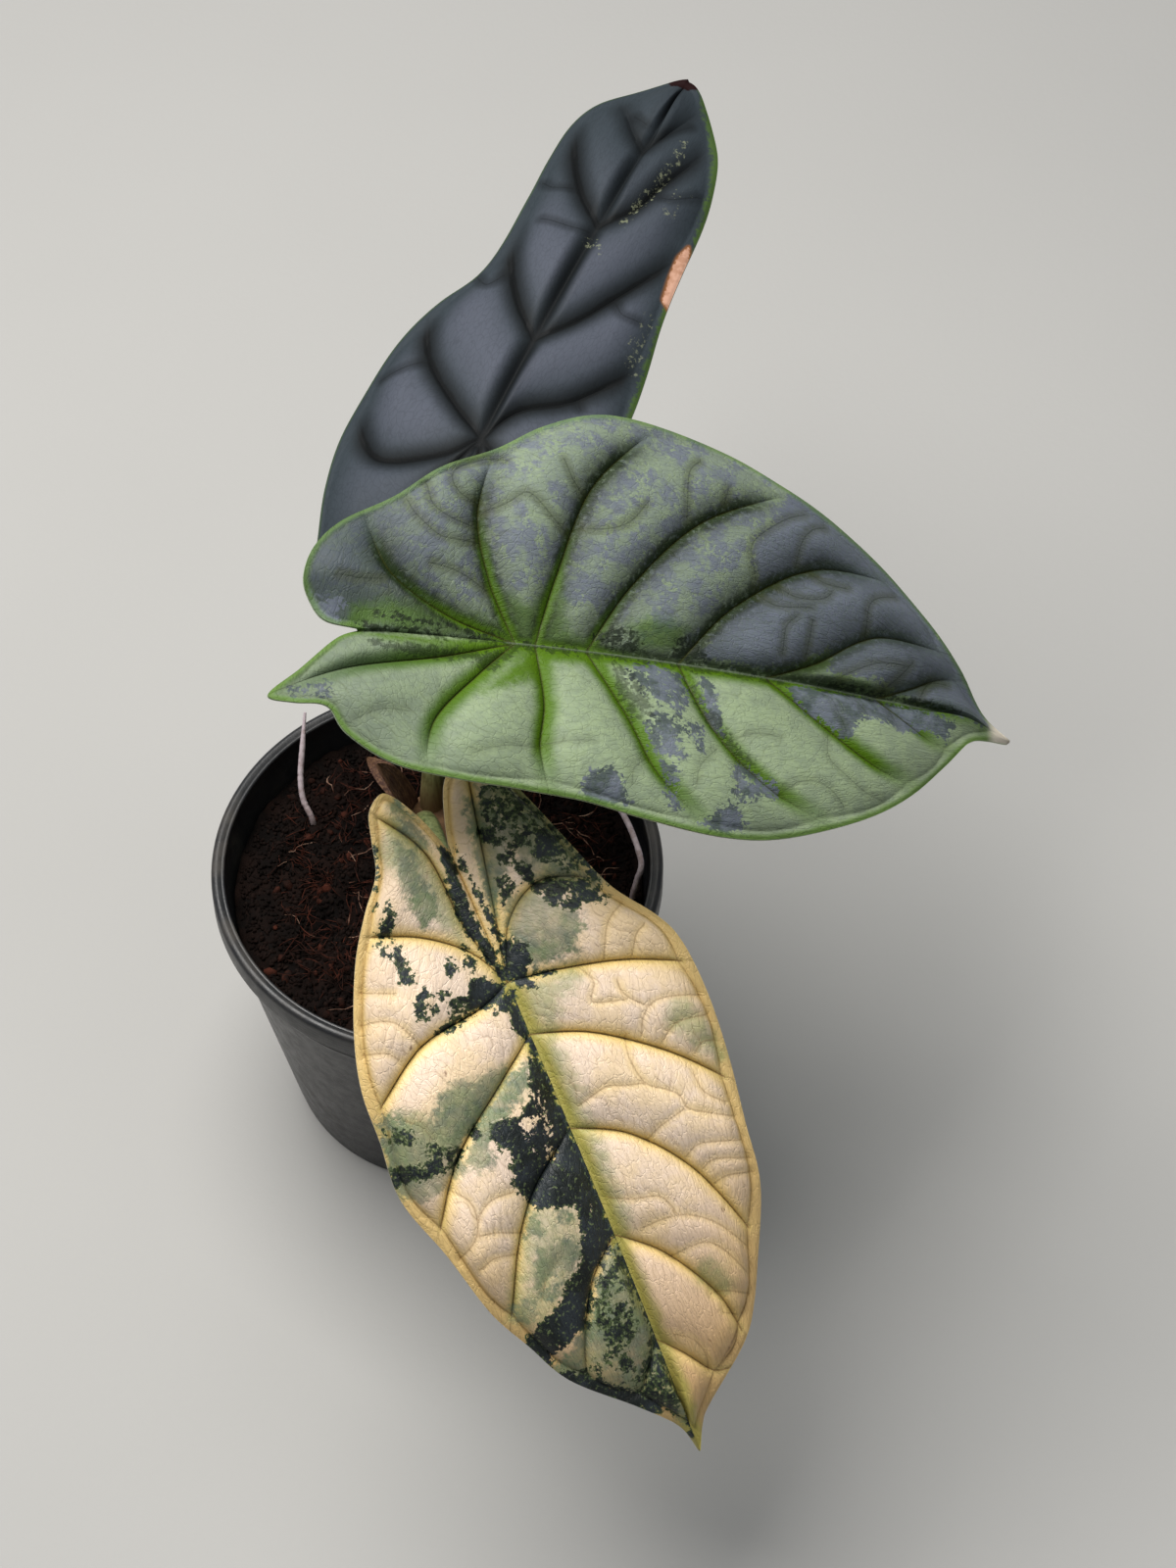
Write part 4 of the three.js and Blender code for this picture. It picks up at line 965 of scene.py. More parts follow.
def front_leaf_material(look):
    w = new_material("leaf_front")
    paint = LeafPaint(w)
    paint.base = w.mix(paint.by("puff", 0.0, 0.55), look.flush, look.cell)
    paint.lay(look.flush, paint.cloud(70), 0.35)
    # Warmer, darker cream towards the tip: partly the leaf's own tint, partly painted shade on the tip.
    paint.lay(look.tip_peach_and_shade, paint.by("hub_gap", 50.0, 118.0), 0.95)
    paint.lay(look.flush, paint.flush("vein_gap", 3.6, 1.2), 0.6)
    paint.lay(look.flush, paint.flush("veinlet_gap", 1.8, 0.6), 0.35)
    paint.lay(look.edge, paint.skin["Streak"], 0.14)
    paint.lay(look.edge, paint.by("edge_gap", 0.5, 15.0, 0.4, 0.0))
    paint.lay(look.edge, paint.outside(0.35))
    paint.lay(look.green, paint.mask("green", 1.4, 0.3, 2.6, 4.0), 0.62)
    paint.lay(look.olive, paint.flush("midrib_gap", 4.2, 1.0, 2.0), 0.8)
    paint.lay(look.olive, paint.flush("vein_gap", 1.4, 0.5, 5.0), 0.22)
    for mask in (paint.rungs(0.3), paint.veinlets(0.4, 0.45), paint.ring(0.4, 0.45)):
        paint.lay(look.line, mask)
    paint.lay(look.line, paint.line("vein_gap", 0.36, 0.75))
    thin = w.mix(w.times(paint.cloud(190, 0.4, 0.6), 0.45), look.grey, look.green)
    veil = w.times(paint.cloud(420, 0.35, 0.6, 3.0), 0.2)
    veil = w.maths("MULTIPLY_ADD", paint.cloud(60, 0.4, 0.58, 4.0), 0.3, veil)
    paint.lay(thin, paint.mask("grey", 1.5, 0.5, 1.1, 1.0), w.maths("ADD", veil, 0.5))
    blotch = paint.patch("dark", 1.1, 0.5, 0.15, 2.0)
    deep = w.mix(w.times(paint.cloud(90, 0.42, 0.6, 6.0), 0.75), look.dark, look.slate)
    deep = w.mix(blotch["Core"], look.fringe, deep)
    deep = w.mix(w.times(paint.cloud(900, 0.57, 0.66, 8.0), 0.55), deep, look.green)
    deep = w.mix(paint.line("vein_gap", 0.4, 0.5), deep, look.dark)
    paint.lay(deep, w.without(blotch["Mask"], paint.mask("pale", 0.9, 0.7, 0.15, 3.0)))
    paint.lay(look.spot, paint.mask("brown", 0.1, 0.1, 0.3, 9.0), 0.7)
    return paint.finish(look.underside, 0.46, 0.4, 0.3)


def middle_leaf_material(look):
    w = new_material("leaf_middle")
    paint = LeafPaint(w)
    upper = paint.gap["upper_half"]
    grain = paint.cloud(1300, 0.38, 0.62, 11.0)
    paint.base = w.mix(w.times(paint.cloud(260, 0.4, 0.6), 0.6), look.cell, look.mottle)
    paint.lay(look.mottle, upper, 0.7)
    paint.lay(look.slate, grain, paint.halves(0.1, 0.3))
    drift = w.times(paint.cloud(150, 0.45, 0.57, 2.0), 0.6)
    stone = w.mix(w.maths("MULTIPLY_ADD", grain, 0.25, drift), look.slate, look.mottle)
    paint.lay(stone, paint.mask("marble", 3.0, 1.2, 0.7, 1.0, 180.0), 0.92)

    # Bright green along the veins, and painted shade on the lobes behind the stalk
    glow = w.most(paint.flush("vein_gap", 4.4, 0.9), paint.flush("midrib_gap", 5.2, 0.8))
    glow = w.times(glow, paint.by("edge_gap", 2.0, 12.0, 0.3, 1.0))
    paint.lay(look.vivid, w.without(glow, upper))
    paint.lay(look.shadow, paint.gap["lobe_share"], paint.halves(0.4, 0.85))
    paint.lay(look.vivid, paint.mask("green", 0.9, 0.3, 2.4, 4.0), paint.halves(0.95, 0.7))

    # Slate patches
    slate = paint.mask("grey", 1.1, 0.9, 0.4, 5.0)
    slate = w.without(slate, paint.mask("pale", 0.8, 0.8, 0.3, 3.0))
    clouds = w.times(paint.cloud(170, 0.4, 0.6, 8.0), paint.halves(0.9, 0.2))
    rock = w.mix(clouds, look.slate, look.shadow)
    rock = w.mix(w.times(grain, 0.16), rock, look.fern)
    paint.lay(rock, slate, 0.95)

    # Dark grooves of the upper half, with green cores near the stalk
    shade = w.most(paint.flush("vein_gap", 4.6, 1.4, 2.0), paint.flush("midrib_gap", 3.6, 0.8, 2.0))
    shade = w.most(shade, paint.line("vein_gap", 8.0, 0.7))
    shade = w.times(w.times(shade, upper), paint.by("edge_gap", 2.0, 12.0, 0.1, 0.95))
    shade = w.times(shade, paint.by("hub_gap", 60.0, 110.0, 1.0, 0.7))
    shade = w.without(shade, w.times(paint.cloud(700, 0.52, 0.64, 5.0), 0.35))
    paint.lay(look.dark, shade)
    core = w.most(paint.flush("vein_gap", 2.4, 0.9, 6.0), paint.flush("midrib_gap", 2.6, 0.6, 6.0))
    paint.lay(look.vivid, w.times(core, upper), paint.by("hub_gap", 12.0, 36.0, 0.8, 0.1))

    # Margin, net, smaller veins and specks
    paint.lay(look.edge, paint.flush("edge_gap", 1.8, 0.4), paint.halves(0.85, 0.6))
    paint.lay(look.line, paint.skin["Net"], 0.09)
    paint.lay(look.line, paint.flush("veinlet_gap", 2.4, 0.6), paint.halves(0.15, 0.4))
    paint.lay(look.line, paint.rungs(0.25))
    paint.lay(look.dark, paint.veinlets(0.32, 1.0), paint.halves(0.3, 0.45))
    paint.lay(look.line, paint.ring(0.5, 0.15))
    paint.lay(look.dark, paint.mask("dark", 1.0, 0.9, 0.7, 2.0), paint.halves(0.6, 0.85))
    thread = paint.by("edge_gap", 4.0, 16.0, 0.1, 1.0)
    paint.lay(look.line, paint.line("vein_gap", 0.45, 0.85), thread)
    paint.lay(look.mottle, paint.line("midrib_gap", 0.4, 0.45))
    paint.lay(look.tip, paint.gap["tip_share"])
    return paint.finish(look.underside, 0.52, 0.18, 0.22)


def back_leaf_material(look):
    w = new_material("leaf_back")
    paint = LeafPaint(w)
    spine = paint.by("hub_gap", 50.0, 115.0, 1.0, 0.5)
    spine = w.times(paint.line("midrib_gap", 5.0, 0.9), spine)
    groove = w.most(paint.line("vein_gap", 6.0, 0.9), spine)
    groove = w.most(groove, paint.flush("vein_gap", 2.6, 0.5))
    groove = w.times(groove, paint.by("edge_gap", 1.0, 6.0, 0.1, 1.0))
    # Painted light and shade: lighter slate on the cushion tops near the stalk, darker slate between the
    # cushions, on the lobes behind the stalk and towards the tip.
    pale = w.times(paint.by("puff", 0.0, 1.0), paint.by("hub_gap", 55.0, 110.0, 1.0, 0.1))
    paint.base = w.mix(w.without(pale, paint.gap["lobe_share"]), look.shaded_slate, look.cell)
    paint.lay(look.dark, paint.skin["Streak"], 0.06)
    paint.lay(look.dark, groove, paint.by("hub_gap", 96.0, 128.0, 1.0, 0.5))
    paint.lay(look.dark, paint.flush("veinlet_gap", 3.0, 0.5), 0.45)
    paint.lay(look.dark, paint.veinlets(0.4, 0.5))
    paint.lay(look.dark, paint.line("midrib_gap", 1.4, 0.5))
    paint.lay(look.dark, paint.skin["Net"], 0.16)
    paint.lay(look.edge, paint.mask("green", 0.5, 0.5, 0.8, 4.0), 0.75)
    paint.lay(look.edge, paint.flush("edge_gap", 0.8, 0.2), 0.35)
    paint.lay(look.fleck, paint.mask("pale", 0.8, 0.6, 0.3, 5.0, 500.0), 0.5)
    paint.lay(look.scorch, w.ramp(w.attribute("patch_grey"), -1.1, 0.0))
    burn = w.mix(w.times(paint.cloud(400, 0.4, 0.6, 5.0), 0.4), look.burn, look.scorch)
    paint.lay(burn, paint.mask("grey", 0.3, 0.2, 0.25, 3.0))
    paint.lay(look.dead, paint.mask("dark", 0.4, 0.3, 0.3, 2.0))
    return paint.finish(look.underside, 0.6, 0.1, 0.04)


# Blades; lengths in millimetres

RUNG_SPACE = 3.4
STEP_EASE = 0.4
SPOTS_PER_MM = 500
FAR_OUTSIDE = -9.0
BAND_LEAST = 2.1
BAND_SWELL = 1.2
MARGIN_WAVE = 0.9
MIDRIB_GROOVE = 0.5
MIDRIB_RIDGE = 0.4


def leaf_axes(leaf):
    tilt, bearing, aim = (math.radians(leaf[name]) for name in ("droop", "bearing", "aim"))
    z = Vector((math.sin(tilt) * math.cos(bearing), math.sin(tilt) * math.sin(bearing), math.cos(tilt)))
    slope = -(z.x * math.cos(aim) + z.y * math.sin(aim)) / z.z
    x = Vector((math.cos(aim), math.sin(aim), slope)).normalized()
    return x, z.cross(x), z


def leaf_knots(leaf, half):
    """Where spokes start and stop: at the notch, on each vein and at the tip."""
    margin = np.array(half["margin"], float)
    last = len(margin) - 1

    def straight(start, stop):
        foot, end = np.array((start, 0.0)), spline(margin, stop / last)
        return lerp(foot, end, 1 / 3), lerp(foot, end, 2 / 3)

    knots = [(0.0, 0.0, straight(0.0, 0.0))]
    for start, row in zip(leaf["starts"], half["veins"]):
        knots.append((start, row[4], (np.array(row[0:2]), np.array(row[2:4]))))
    knots.append((leaf["length"], last, straight(leaf["length"], last)))
    return margin, knots


def spokes(margin, start, stop, inner, steps):
    """Curves from the midrib to the margin, one for each start, at the steps."""
    foot = np.stack([start, np.zeros_like(start)], -1)
    end = spline(margin, stop / (len(margin) - 1))
    return spline(np.stack([foot, inner[..., 0, :], inner[..., 1, :], end], -2), steps)


def spoke(margin, knot, steps):
    """The one curve that starts and stops at a knot."""
    start, stop = np.array(knot[:2], float)[:, None]
    return spokes(margin, start, stop, np.array(knot[2])[None], steps)[0]


def panel_counts(leaf, spacing):
    """How many spokes each panel between two veins gets, alike in both halves."""
    counts = []
    for half in leaf["halves"]:
        margin, knots = leaf_knots(leaf, half)
        for k, (near, far) in enumerate(zip(knots[:-1], knots[1:])):
            edge = spline(margin, np.linspace(near[1], far[1], 40) / (len(margin) - 1))
            reach = np.hypot(*np.diff(edge, axis=0).T).sum()
            count = max(8, math.ceil(reach / spacing))
            if k == len(counts):
                counts.append(count)
            counts[k] = max(counts[k], count)
    return counts


def half_grid(leaf, half, counts, steps):
    """Rows of spots on one half, with what the heights and colours need at each."""
    margin, knots = leaf_knots(leaf, half)
    parts = []
    for k, (near, far) in enumerate(zip(knots[:-1], knots[1:])):
        at_tip = k == len(knots) - 2
        across = np.arange(counts[k] + at_tip) / counts[k]
        start = lerp(near[0], far[0], across**TIP_EASE if at_tip else across)
        stop = lerp(near[1], far[1], across)
        inner = lerp(np.array(near[2]), np.array(far[2]), across[:, None, None])
        if at_tip:
            foot = np.stack([start, np.zeros_like(start)], -1)
            end = spline(margin, stop / (len(margin) - 1))
            direct = np.stack([lerp(foot, end, 1 / 3), lerp(foot, end, 2 / 3)], -2)
            inner = lerp(inner, direct, smoothstep(across, 0, 0.5)[:, None, None])
        spots = spokes(margin, start, stop, inner, steps)
        sides = [spoke(margin, knot, steps) for knot in (near, far)]
        width = np.hypot(*(sides[1] - sides[0]).T)
        dome = np.minimum(PUFF * width, PUFF_LIMIT) * np.sin(np.pi * across)[:, None] ** leaf["swell"]
        along = np.hypot(*np.diff(spots, axis=1, prepend=spots[:, :1]).transpose(2, 0, 1)).cumsum(1)
        part = {
            "reach": steps, "stop": stop[:, None], "across": across[:, None], "width": width,
            "panel": float(k), "side": float(half["side"]),
        }
        part = {name: np.broadcast_to(value, along.shape) for name, value in part.items()}
        part["spot"] = spots * (1, half["side"])
        part["rise"] = dome * smoothstep(steps, 0, 0.2)
        part["along"] = along
        parts.append(part)
    return {name: np.concatenate([part[name] for part in parts]) for name in parts[0]}


def vein_lines(leaf):
    """The main veins of both halves as lines in the leaf's plan."""
    lines = []
    steps = np.linspace(0, 0.92, 22)
    for half in leaf["halves"]:
        margin, knots = leaf_knots(leaf, half)
        for knot in knots[1:-1]:
            lines.append(spoke(margin, knot, steps) * (1, half["side"]))
    return lines


def signed_gap(points, lines):
    """Distance to the nearest of some lines, less than zero on its right."""
    best = np.full(len(points), 99.0)
    for line in lines:
        for a, b in zip(line[:-1], line[1:]):
            span = b - a
            away = from_segment(points, a, b)[1]
            gap = np.hypot(*away.T) * np.where(span[0] * away[:, 1] < span[1] * away[:, 0], -1, 1)
            best = np.where(np.abs(gap) < np.abs(best), gap, best)
    return best


def edge_lines(leaf):
    for half in leaf["halves"]:
        yield spline(half["margin"], np.linspace(0, 1, 160)) * (1, half["side"])


def patch_field(points, patches):
    """Depth inside the nearest of some patches, up to each one's cap."""
    field = np.full(len(points), FAR_OUTSIDE)
    for cap, *spots in patches:
        spots = np.array(spots, float)
        if spots.shape[1] == 2:
            inside = depth_inside(points, spots)
        else:
            inside = -nearest(points, spots[:, :2], spots[:, 2])
        field = np.maximum(field, np.minimum(inside, cap))
    return field


def leaf_gaps(leaf, points):
    """Distances in the plan that heights and colours follow."""
    lines = [spline(line, np.linspace(0, 1, 3 * len(line))) for line in leaf["veinlets"]]
    veinlets = signed_gap(points, lines)
    gaps = {
        "vein_gap": np.min([nearest(points, line) for line in vein_lines(leaf)], axis=0),
        "edge_gap": np.min([nearest(points, line) for line in edge_lines(leaf)], axis=0),
        "veinlet_gap": np.abs(veinlets),
        "veinlet_side": veinlets,
        "midrib_gap": nearest(points, ((-2, 0), (leaf["length"], 0))),
        "hub_gap": np.hypot(*points.T),
    }
    cleared = (points[:, 0] > leaf.get("clear_of_dark", np.inf)) & (points[:, 1] > 0.01)
    for kind, patches in leaf["patches"].items():
        field = patch_field(points, patches)
        if kind in ("dark", "grey"):
            field = np.where(cleared, FAR_OUTSIDE, field)
        gaps[f"patch_{kind}"] = field
    return gaps


def sheet_height(leaf, x, y):
    arch = np.where(x > 0, leaf["arch_tip"], leaf["arch_lobe"])
    fold = leaf["fold"] * (np.hypot(y, FOLD_SOFTNESS) - FOLD_SOFTNESS)
    return fold - x * x / (2 * arch) - y * y / (2 * leaf["roll"])


def leaf_faces(grids, index):
    """Triangles of the upper face, with the corners counted once, and its open edges.

    At the tip both halves can share a sliver on the midrib, which then cancels out.
    """
    faces = []
    offset = 0
    for grid in grids:
        rows, columns = grid["reach"].shape
        grid_index = index[offset:offset + rows * columns].reshape(rows, columns)
        offset += rows * columns
        a, b = grid_index[:-1, :-1], grid_index[:-1, 1:]
        c, d = grid_index[1:, 1:], grid_index[1:, :-1]
        tris = np.concatenate([np.stack(t, -1).reshape(-1, 3) for t in ((a, b, c), (a, c, d))])
        faces.append(tris[:, ::-1] if grid["side"].flat[0] > 0 else tris)
    faces = np.concatenate(faces)
    distinct = (faces[:, 0] != faces[:, 1]) & (faces[:, 1] != faces[:, 2]) & (faces[:, 2] != faces[:, 0])
    faces = faces[distinct]
    corners = np.sort(faces, axis=1)
    _, group, sharing = np.unique(corners, axis=0, return_inverse=True, return_counts=True)
    faces = faces[sharing[group.ravel()] == 1]
    count = int(index.max()) + 1
    edges = np.concatenate([faces[:, (i, (i + 1) % 3)] for i in range(3)]).astype(np.int64)
    met = np.isin(edges[:, 0] * count + edges[:, 1], edges[:, 1] * count + edges[:, 0])
    return faces, edges[~met]


def rungs(values, gaps):
    """Fine creases from vein to vein: a phase with one crease a turn, and their strength."""
    slant = 5.5 * np.abs(values["across"] - 0.5)
    x, y = values["spot"].T
    wander = 1.5 * np.sin(x * 0.23 + y * 0.11) + 1.2 * np.sin(y * 0.37 - x * 0.17)
    wander = wander + 0.7 * np.sin(x * 0.71 + y * 0.53)
    phase = (values["along"] - slant + wander) / RUNG_SPACE + values["side"] + values["panel"] * 0.37
    keep = smoothstep(gaps["vein_gap"], 0.6, 2.5) * smoothstep(gaps["ring_gap"], 0, 1.5)
    keep = keep * (0.55 + 0.45 * np.sin(x * 0.29 - y * 0.41 + 1))
    return phase, keep * smoothstep(gaps["midrib_gap"], 1, 4)


def blade_plan(leaf, look):
    """Both halves' grids, which distinct spot each grid point is, and the spots' values."""
    bend = np.linspace(0, 1, look.steps + 1)
    steps = bend - STEP_EASE * np.sin(TAU * bend) / TAU
    counts = panel_counts(leaf, look.spacing / MM)
    grids = [half_grid(leaf, half, counts, steps) for half in leaf["halves"]]
    flat = {}
    for key in grids[0]:
        flat[key] = np.concatenate([grid[key].reshape(-1, *grid[key].shape[2:]) for grid in grids])
    keys = np.round(flat["spot"] * SPOTS_PER_MM).astype(np.int64)
    _, first, index = np.unique(keys, axis=0, return_index=True, return_inverse=True)
    return grids, index.ravel(), {key: column[first] for key, column in flat.items()}


def add_shape_gaps(leaf, values, gaps):
    """Adds the gaps that depend on the spokes, and the shares along the blade."""
    x, y = values["spot"].T
    length = leaf["length"]
    band = BAND_LEAST + BAND_SWELL * (1 - np.sin(np.pi * values["across"]))
    gaps["ring_gap"] = gaps["edge_gap"] - lerp(0.6, 1, smoothstep(x, -32, 4)) * band
    gaps["collective"] = smoothstep(np.abs(y), 2, 8) * (1 - smoothstep(x, length - 20, length - 12))
    gaps["rung"], gaps["rung_keep"] = rungs(values, gaps)
    gaps["upper_half"] = smoothstep(y, -0.3, 0.3)
    gaps["tip_share"] = smoothstep(x, length - 8, length - 4)
    gaps["lobe_share"] = smoothstep(-x, 4, 44)


def groove_height(leaf, look, x, gaps):
    """Height of the grooves of veins, smaller veins, midrib and fine creases, below zero."""
    sharp = leaf["sharpness"]
    run_out = smoothstep(leaf["length"] - x, 0, 30)
    creases = bell((gaps["rung"] - np.round(gaps["rung"])) * RUNG_SPACE, 0.5) * gaps["rung_keep"]
    veinlets = 0.4 * sharp * bell(gaps["veinlet_gap"], 0.6)
    veinlets = veinlets + lerp(0.4, 0.7, sharp) * bell(gaps["veinlet_gap"], 2.0)
    ridge = MIDRIB_RIDGE if leaf["fold"] > 0 else 0
    height = (
        -look.crease / MM * sharp * bell(gaps["vein_gap"], 0.7)
        - look.veinlet / MM * veinlets
        - 0.25 * sharp * gaps["collective"] * bell(gaps["ring_gap"], 0.6)
        - MIDRIB_GROOVE * bell(gaps["midrib_gap"], 1.5) * run_out
        + ridge * bell(gaps["midrib_gap"], 0.55) * run_out
        - look.wrinkle / MM * sharp * creases
    )
    return height * smoothstep(gaps["edge_gap"], 0, 1.2)


def lower_face(leaf, look, values, gaps, top):
    """Heights of the lower face, with its raised ribs and the flat seat on the stalk."""
    edge_share = smoothstep(values["reach"], 0.85, 1)
    rim = lerp(look.thickness / MM, look.margin / MM, edge_share)
    taper = smoothstep(leaf["length"] - values["spot"][:, 0], 0, 80)
    keel = look.rib / MM * bell(gaps["midrib_gap"], 1.7) * lerp(0.3, 1, taper)
    for name, height, width in (("vein_gap", 0.6, 1.1), ("veinlet_gap", 0.35, 0.8)):
        keel = np.maximum(keel, height * bell(gaps[name], width) * (1 - edge_share))
    clear = smoothstep(gaps["hub_gap"], SEAT_RADIUS, SEAT_RADIUS * 1.8)
    return lerp(-SEAT_DEPTH, top - rim - keel, clear)


def build_blade(name, leaf, look):
    grids, index, values = blade_plan(leaf, look)
    x, y = values["spot"].T
    gaps = leaf_gaps(leaf, values["spot"])
    add_shape_gaps(leaf, values, gaps)
    grooves = groove_height(leaf, look, x, gaps)
    shoulder = np.sin(np.pi / 2 * np.clip(gaps["ring_gap"] / leaf["shoulder"], 0, 1))
    rise = values["rise"] * shoulder ** leaf["swell"] * look.quilting * leaf["fullness"]
    wave = MARGIN_WAVE * values["reach"] ** 3 * np.sin(values["stop"] * 1.9 + np.sign(y))
    rounding = 0.3 * bell(gaps["edge_gap"], 0.5)
    top = sheet_height(leaf, x, y) + rise + wave + grooves - rounding
    bottom = lower_face(leaf, look, values, gaps, top)
    gaps["puff"] = (rise + grooves) / (look.quilting * PUFF_LIMIT)

    past = np.maximum(0, (x - (leaf["length"] - HOOK_REACH)) / HOOK_REACH)
    side = y + leaf["hook"] * past**1.7
    axis_x, axis_y, axis_z = (np.array(axis) for axis in leaf_axes(leaf))
    plan = np.array(leaf["attach"]) + np.outer(x, axis_x) + np.outer(side, axis_y)
    faces, rim_edges = leaf_faces(grids, index)
    count = len(x)
    a, b = rim_edges.T
    triangles = np.concatenate([
        faces,
        faces[:, ::-1] + count,
        np.stack([a, a + count, b + count], -1),
        np.stack([a, b + count, b], -1),
    ])
    body = np.concatenate([plan + np.outer(top, axis_z), plan + np.outer(bottom, axis_z)])
    blade = new_mesh(f"leaf_{name}", body, triangles)
    for key, column in gaps.items():
        set_attribute(blade, key, np.tile(column, 2))
    set_attribute(blade, "underside", np.repeat((0.0, 1.0), count))
    across = values["panel"] * 40 + values["across"] * values["width"].clip(4)
    flow = np.stack([across, values["along"], values["side"] * 30], -1)
    layer = blade.data.attributes.new("flow", "FLOAT_VECTOR", "POINT")
    layer.data.foreach_set("vector", np.tile(flow, (2, 1)).astype(np.float32).ravel())
    return blade


LEAF_MATERIALS = {
    "front": front_leaf_material, "middle": middle_leaf_material, "back": back_leaf_material,
}


# Round pieces and tubes


def revolve(profile, segments, centre=(0, 0)):
    """Points and faces of a closed profile of (radius, height) turned about the Z axis."""
    rings = []
    points = []
    for radius, height in profile:
        if radius < 1e-6:
            rings.append([len(points)] * segments)
            points.append((centre[0], centre[1], height))
            continue
        rings.append(list(range(len(points), len(points) + segments)))
        for i in range(segments):
            angle = TAU * i / segments
            points.append((
                centre[0] + radius * math.cos(angle), centre[1] + radius * math.sin(angle), height,
            ))
    faces = []
    for low, high in zip(rings[:-1], rings[1:]):
        for i in range(segments):
            j = (i + 1) % segments
            corners = list(dict.fromkeys((low[i], low[j], high[j], high[i])))
            if len(corners) > 2:
                faces.append(corners)
    return np.array(points), faces


def arc(centre, radius, start, end, count):
    """Points on an arc of a profile, the angles in degrees."""
    for angle in np.radians(np.linspace(start, end, count)):
        yield centre[0] + radius * math.cos(angle), centre[1] + radius * math.sin(angle)


def tube(path, radii, sides, shape=None):
    """Points and faces of a closed tube; shape bends the radius at (share, angle)."""
    path = np.asarray(path, float)
    tangents = np.gradient(path, axis=0)
    tangents /= np.linalg.norm(tangents, axis=1)[:, None]
    normal = np.cross(tangents[0], (0.3, 1, 0.2))
    points = []
    for i, (spot, tangent, radius) in enumerate(zip(path, tangents, radii)):
        normal = normal - tangent * (normal @ tangent)
        normal /= np.linalg.norm(normal)
        side = np.cross(tangent, normal)
        for j in range(sides):
            angle = TAU * j / sides
            reach = radius * (shape(i / (len(path) - 1), angle) if shape else 1)
            points.append(spot + reach * (math.cos(angle) * normal + math.sin(angle) * side))
    faces = []
    for i in range(len(path) - 1):
        for j in range(sides):
            a, b = i * sides + j, i * sides + (j + 1) % sides
            faces.append((a, b, b + sides, a + sides))
    faces.append(tuple(range(sides))[::-1])
    end = (len(path) - 1) * sides
    faces.append(tuple(range(end, end + sides)))
    return np.array(points), faces


def bezier(points, count):
    a, b, c, d = (np.array(point, float) for point in points)
    t = np.linspace(0, 1, count)[:, None]
    return a * (1 - t) ** 3 + 3 * b * t * (1 - t) ** 2 + 3 * c * t**2 * (1 - t) + d * t**3


# Pot

POT_TOP = POT_HIGH.z
LIP_RADIUS = POT_HIGH.x
LIP_DROP = 7.5
WALL_TOP_RADIUS = LIP_RADIUS - 2.5
BASE_RADIUS = 43.5
LIP_UNDERSIDE = POT_TOP - LIP_DROP
FLOOR_RADIUS = 27
CHANNEL_RISE = 2.4
CHANNEL_EDGE = 39
DRAIN_COUNT = 8
DRAIN_RADIUS = 4.2
DRAIN_CIRCLE = 34
DRAIN_SIDES = 28
NOTCH_COUNT = 4
NOTCH_SIZE = (10, 9, 2.4)
WORN_PLASTIC = (0.03, 0.031, 0.034)


def wall_radius(height):
    return lerp(BASE_RADIUS, WALL_TOP_RADIUS, height / LIP_UNDERSIDE)


def pot_profile(wall):
    """Underside, outer wall, rolled lip, inner wall and floor, from axis to axis."""
    channel_top = CHANNEL_RISE + wall
    return [
        (0, 0), (FLOOR_RADIUS - 0.4, 0), *arc((FLOOR_RADIUS, 0.4), 0.4, -60, 0, 3),
        (FLOOR_RADIUS + 1.3, CHANNEL_RISE - 0.3), (FLOOR_RADIUS + 1.8, CHANNEL_RISE),
        (CHANNEL_EDGE, CHANNEL_RISE), (CHANNEL_EDGE + 0.4, CHANNEL_RISE - 0.4),
        (CHANNEL_EDGE + 1.3, 0.3), (CHANNEL_EDGE + 1.7, 0),
        *arc((BASE_RADIUS - 0.9, 0.9), 0.9, -90, -8, 6),
        *((wall_radius(z), z) for z in (6, 14, 24, 36, 48, 60, 70, 76)),
        *((wall_radius(z) + step, z) for z, step in ((77.2, 0), (77.6, 0.25), (78.4, 0.25), (78.8, 0))),
        (wall_radius(LIP_UNDERSIDE - 0.4), LIP_UNDERSIDE - 0.4), (WALL_TOP_RADIUS + 0.4, LIP_UNDERSIDE),
        *arc((LIP_RADIUS - 0.9, LIP_UNDERSIDE + 0.9), 0.9, -90, 0, 6),
        *arc((LIP_RADIUS - 1.5, POT_TOP - 1.5), 1.5, 0, 100, 9),
        (LIP_RADIUS - 2.4, POT_TOP - 0.35),
        *arc((LIP_RADIUS - 3, POT_TOP - 1), 0.6, 60, 190, 7),
        (LIP_RADIUS - 3.5, POT_TOP - 3), (wall_radius(LIP_UNDERSIDE) - wall, LIP_UNDERSIDE),
        *((wall_radius(z) - wall, z) for z in (60, 40, 20)),
        (wall_radius(channel_top + 2) - wall, channel_top + 2), (CHANNEL_EDGE + 1, channel_top),
        (FLOOR_RADIUS + 1, channel_top), (FLOOR_RADIUS - 1.5, wall + 0.2), (0, wall + 0.2),
    ]


def cut_away(obj, cutters):
    """Cuts closed meshes out of obj and keeps its name."""
    for cutter in cutters:
        modifier = obj.modifiers.new("cut", "BOOLEAN")
        modifier.operation = "DIFFERENCE"
        modifier.solver = "EXACT"
        modifier.object = cutter
    plain = baked(obj, obj.name)
    for cutter in cutters:
        bpy.data.objects.remove(cutter)
    return plain


def drain_hole(i):
    """A drum that cuts one drain hole."""
    angle = TAU * (i + 0.5) / DRAIN_COUNT
    centre = (DRAIN_CIRCLE * math.cos(angle), DRAIN_CIRCLE * math.sin(angle))
    low, high = -2, 8
    drum = [(0, low), (DRAIN_RADIUS, low), (DRAIN_RADIUS, high), (0, high)]
    return new_mesh("drain_hole", *revolve(drum, DRAIN_SIDES, centre))


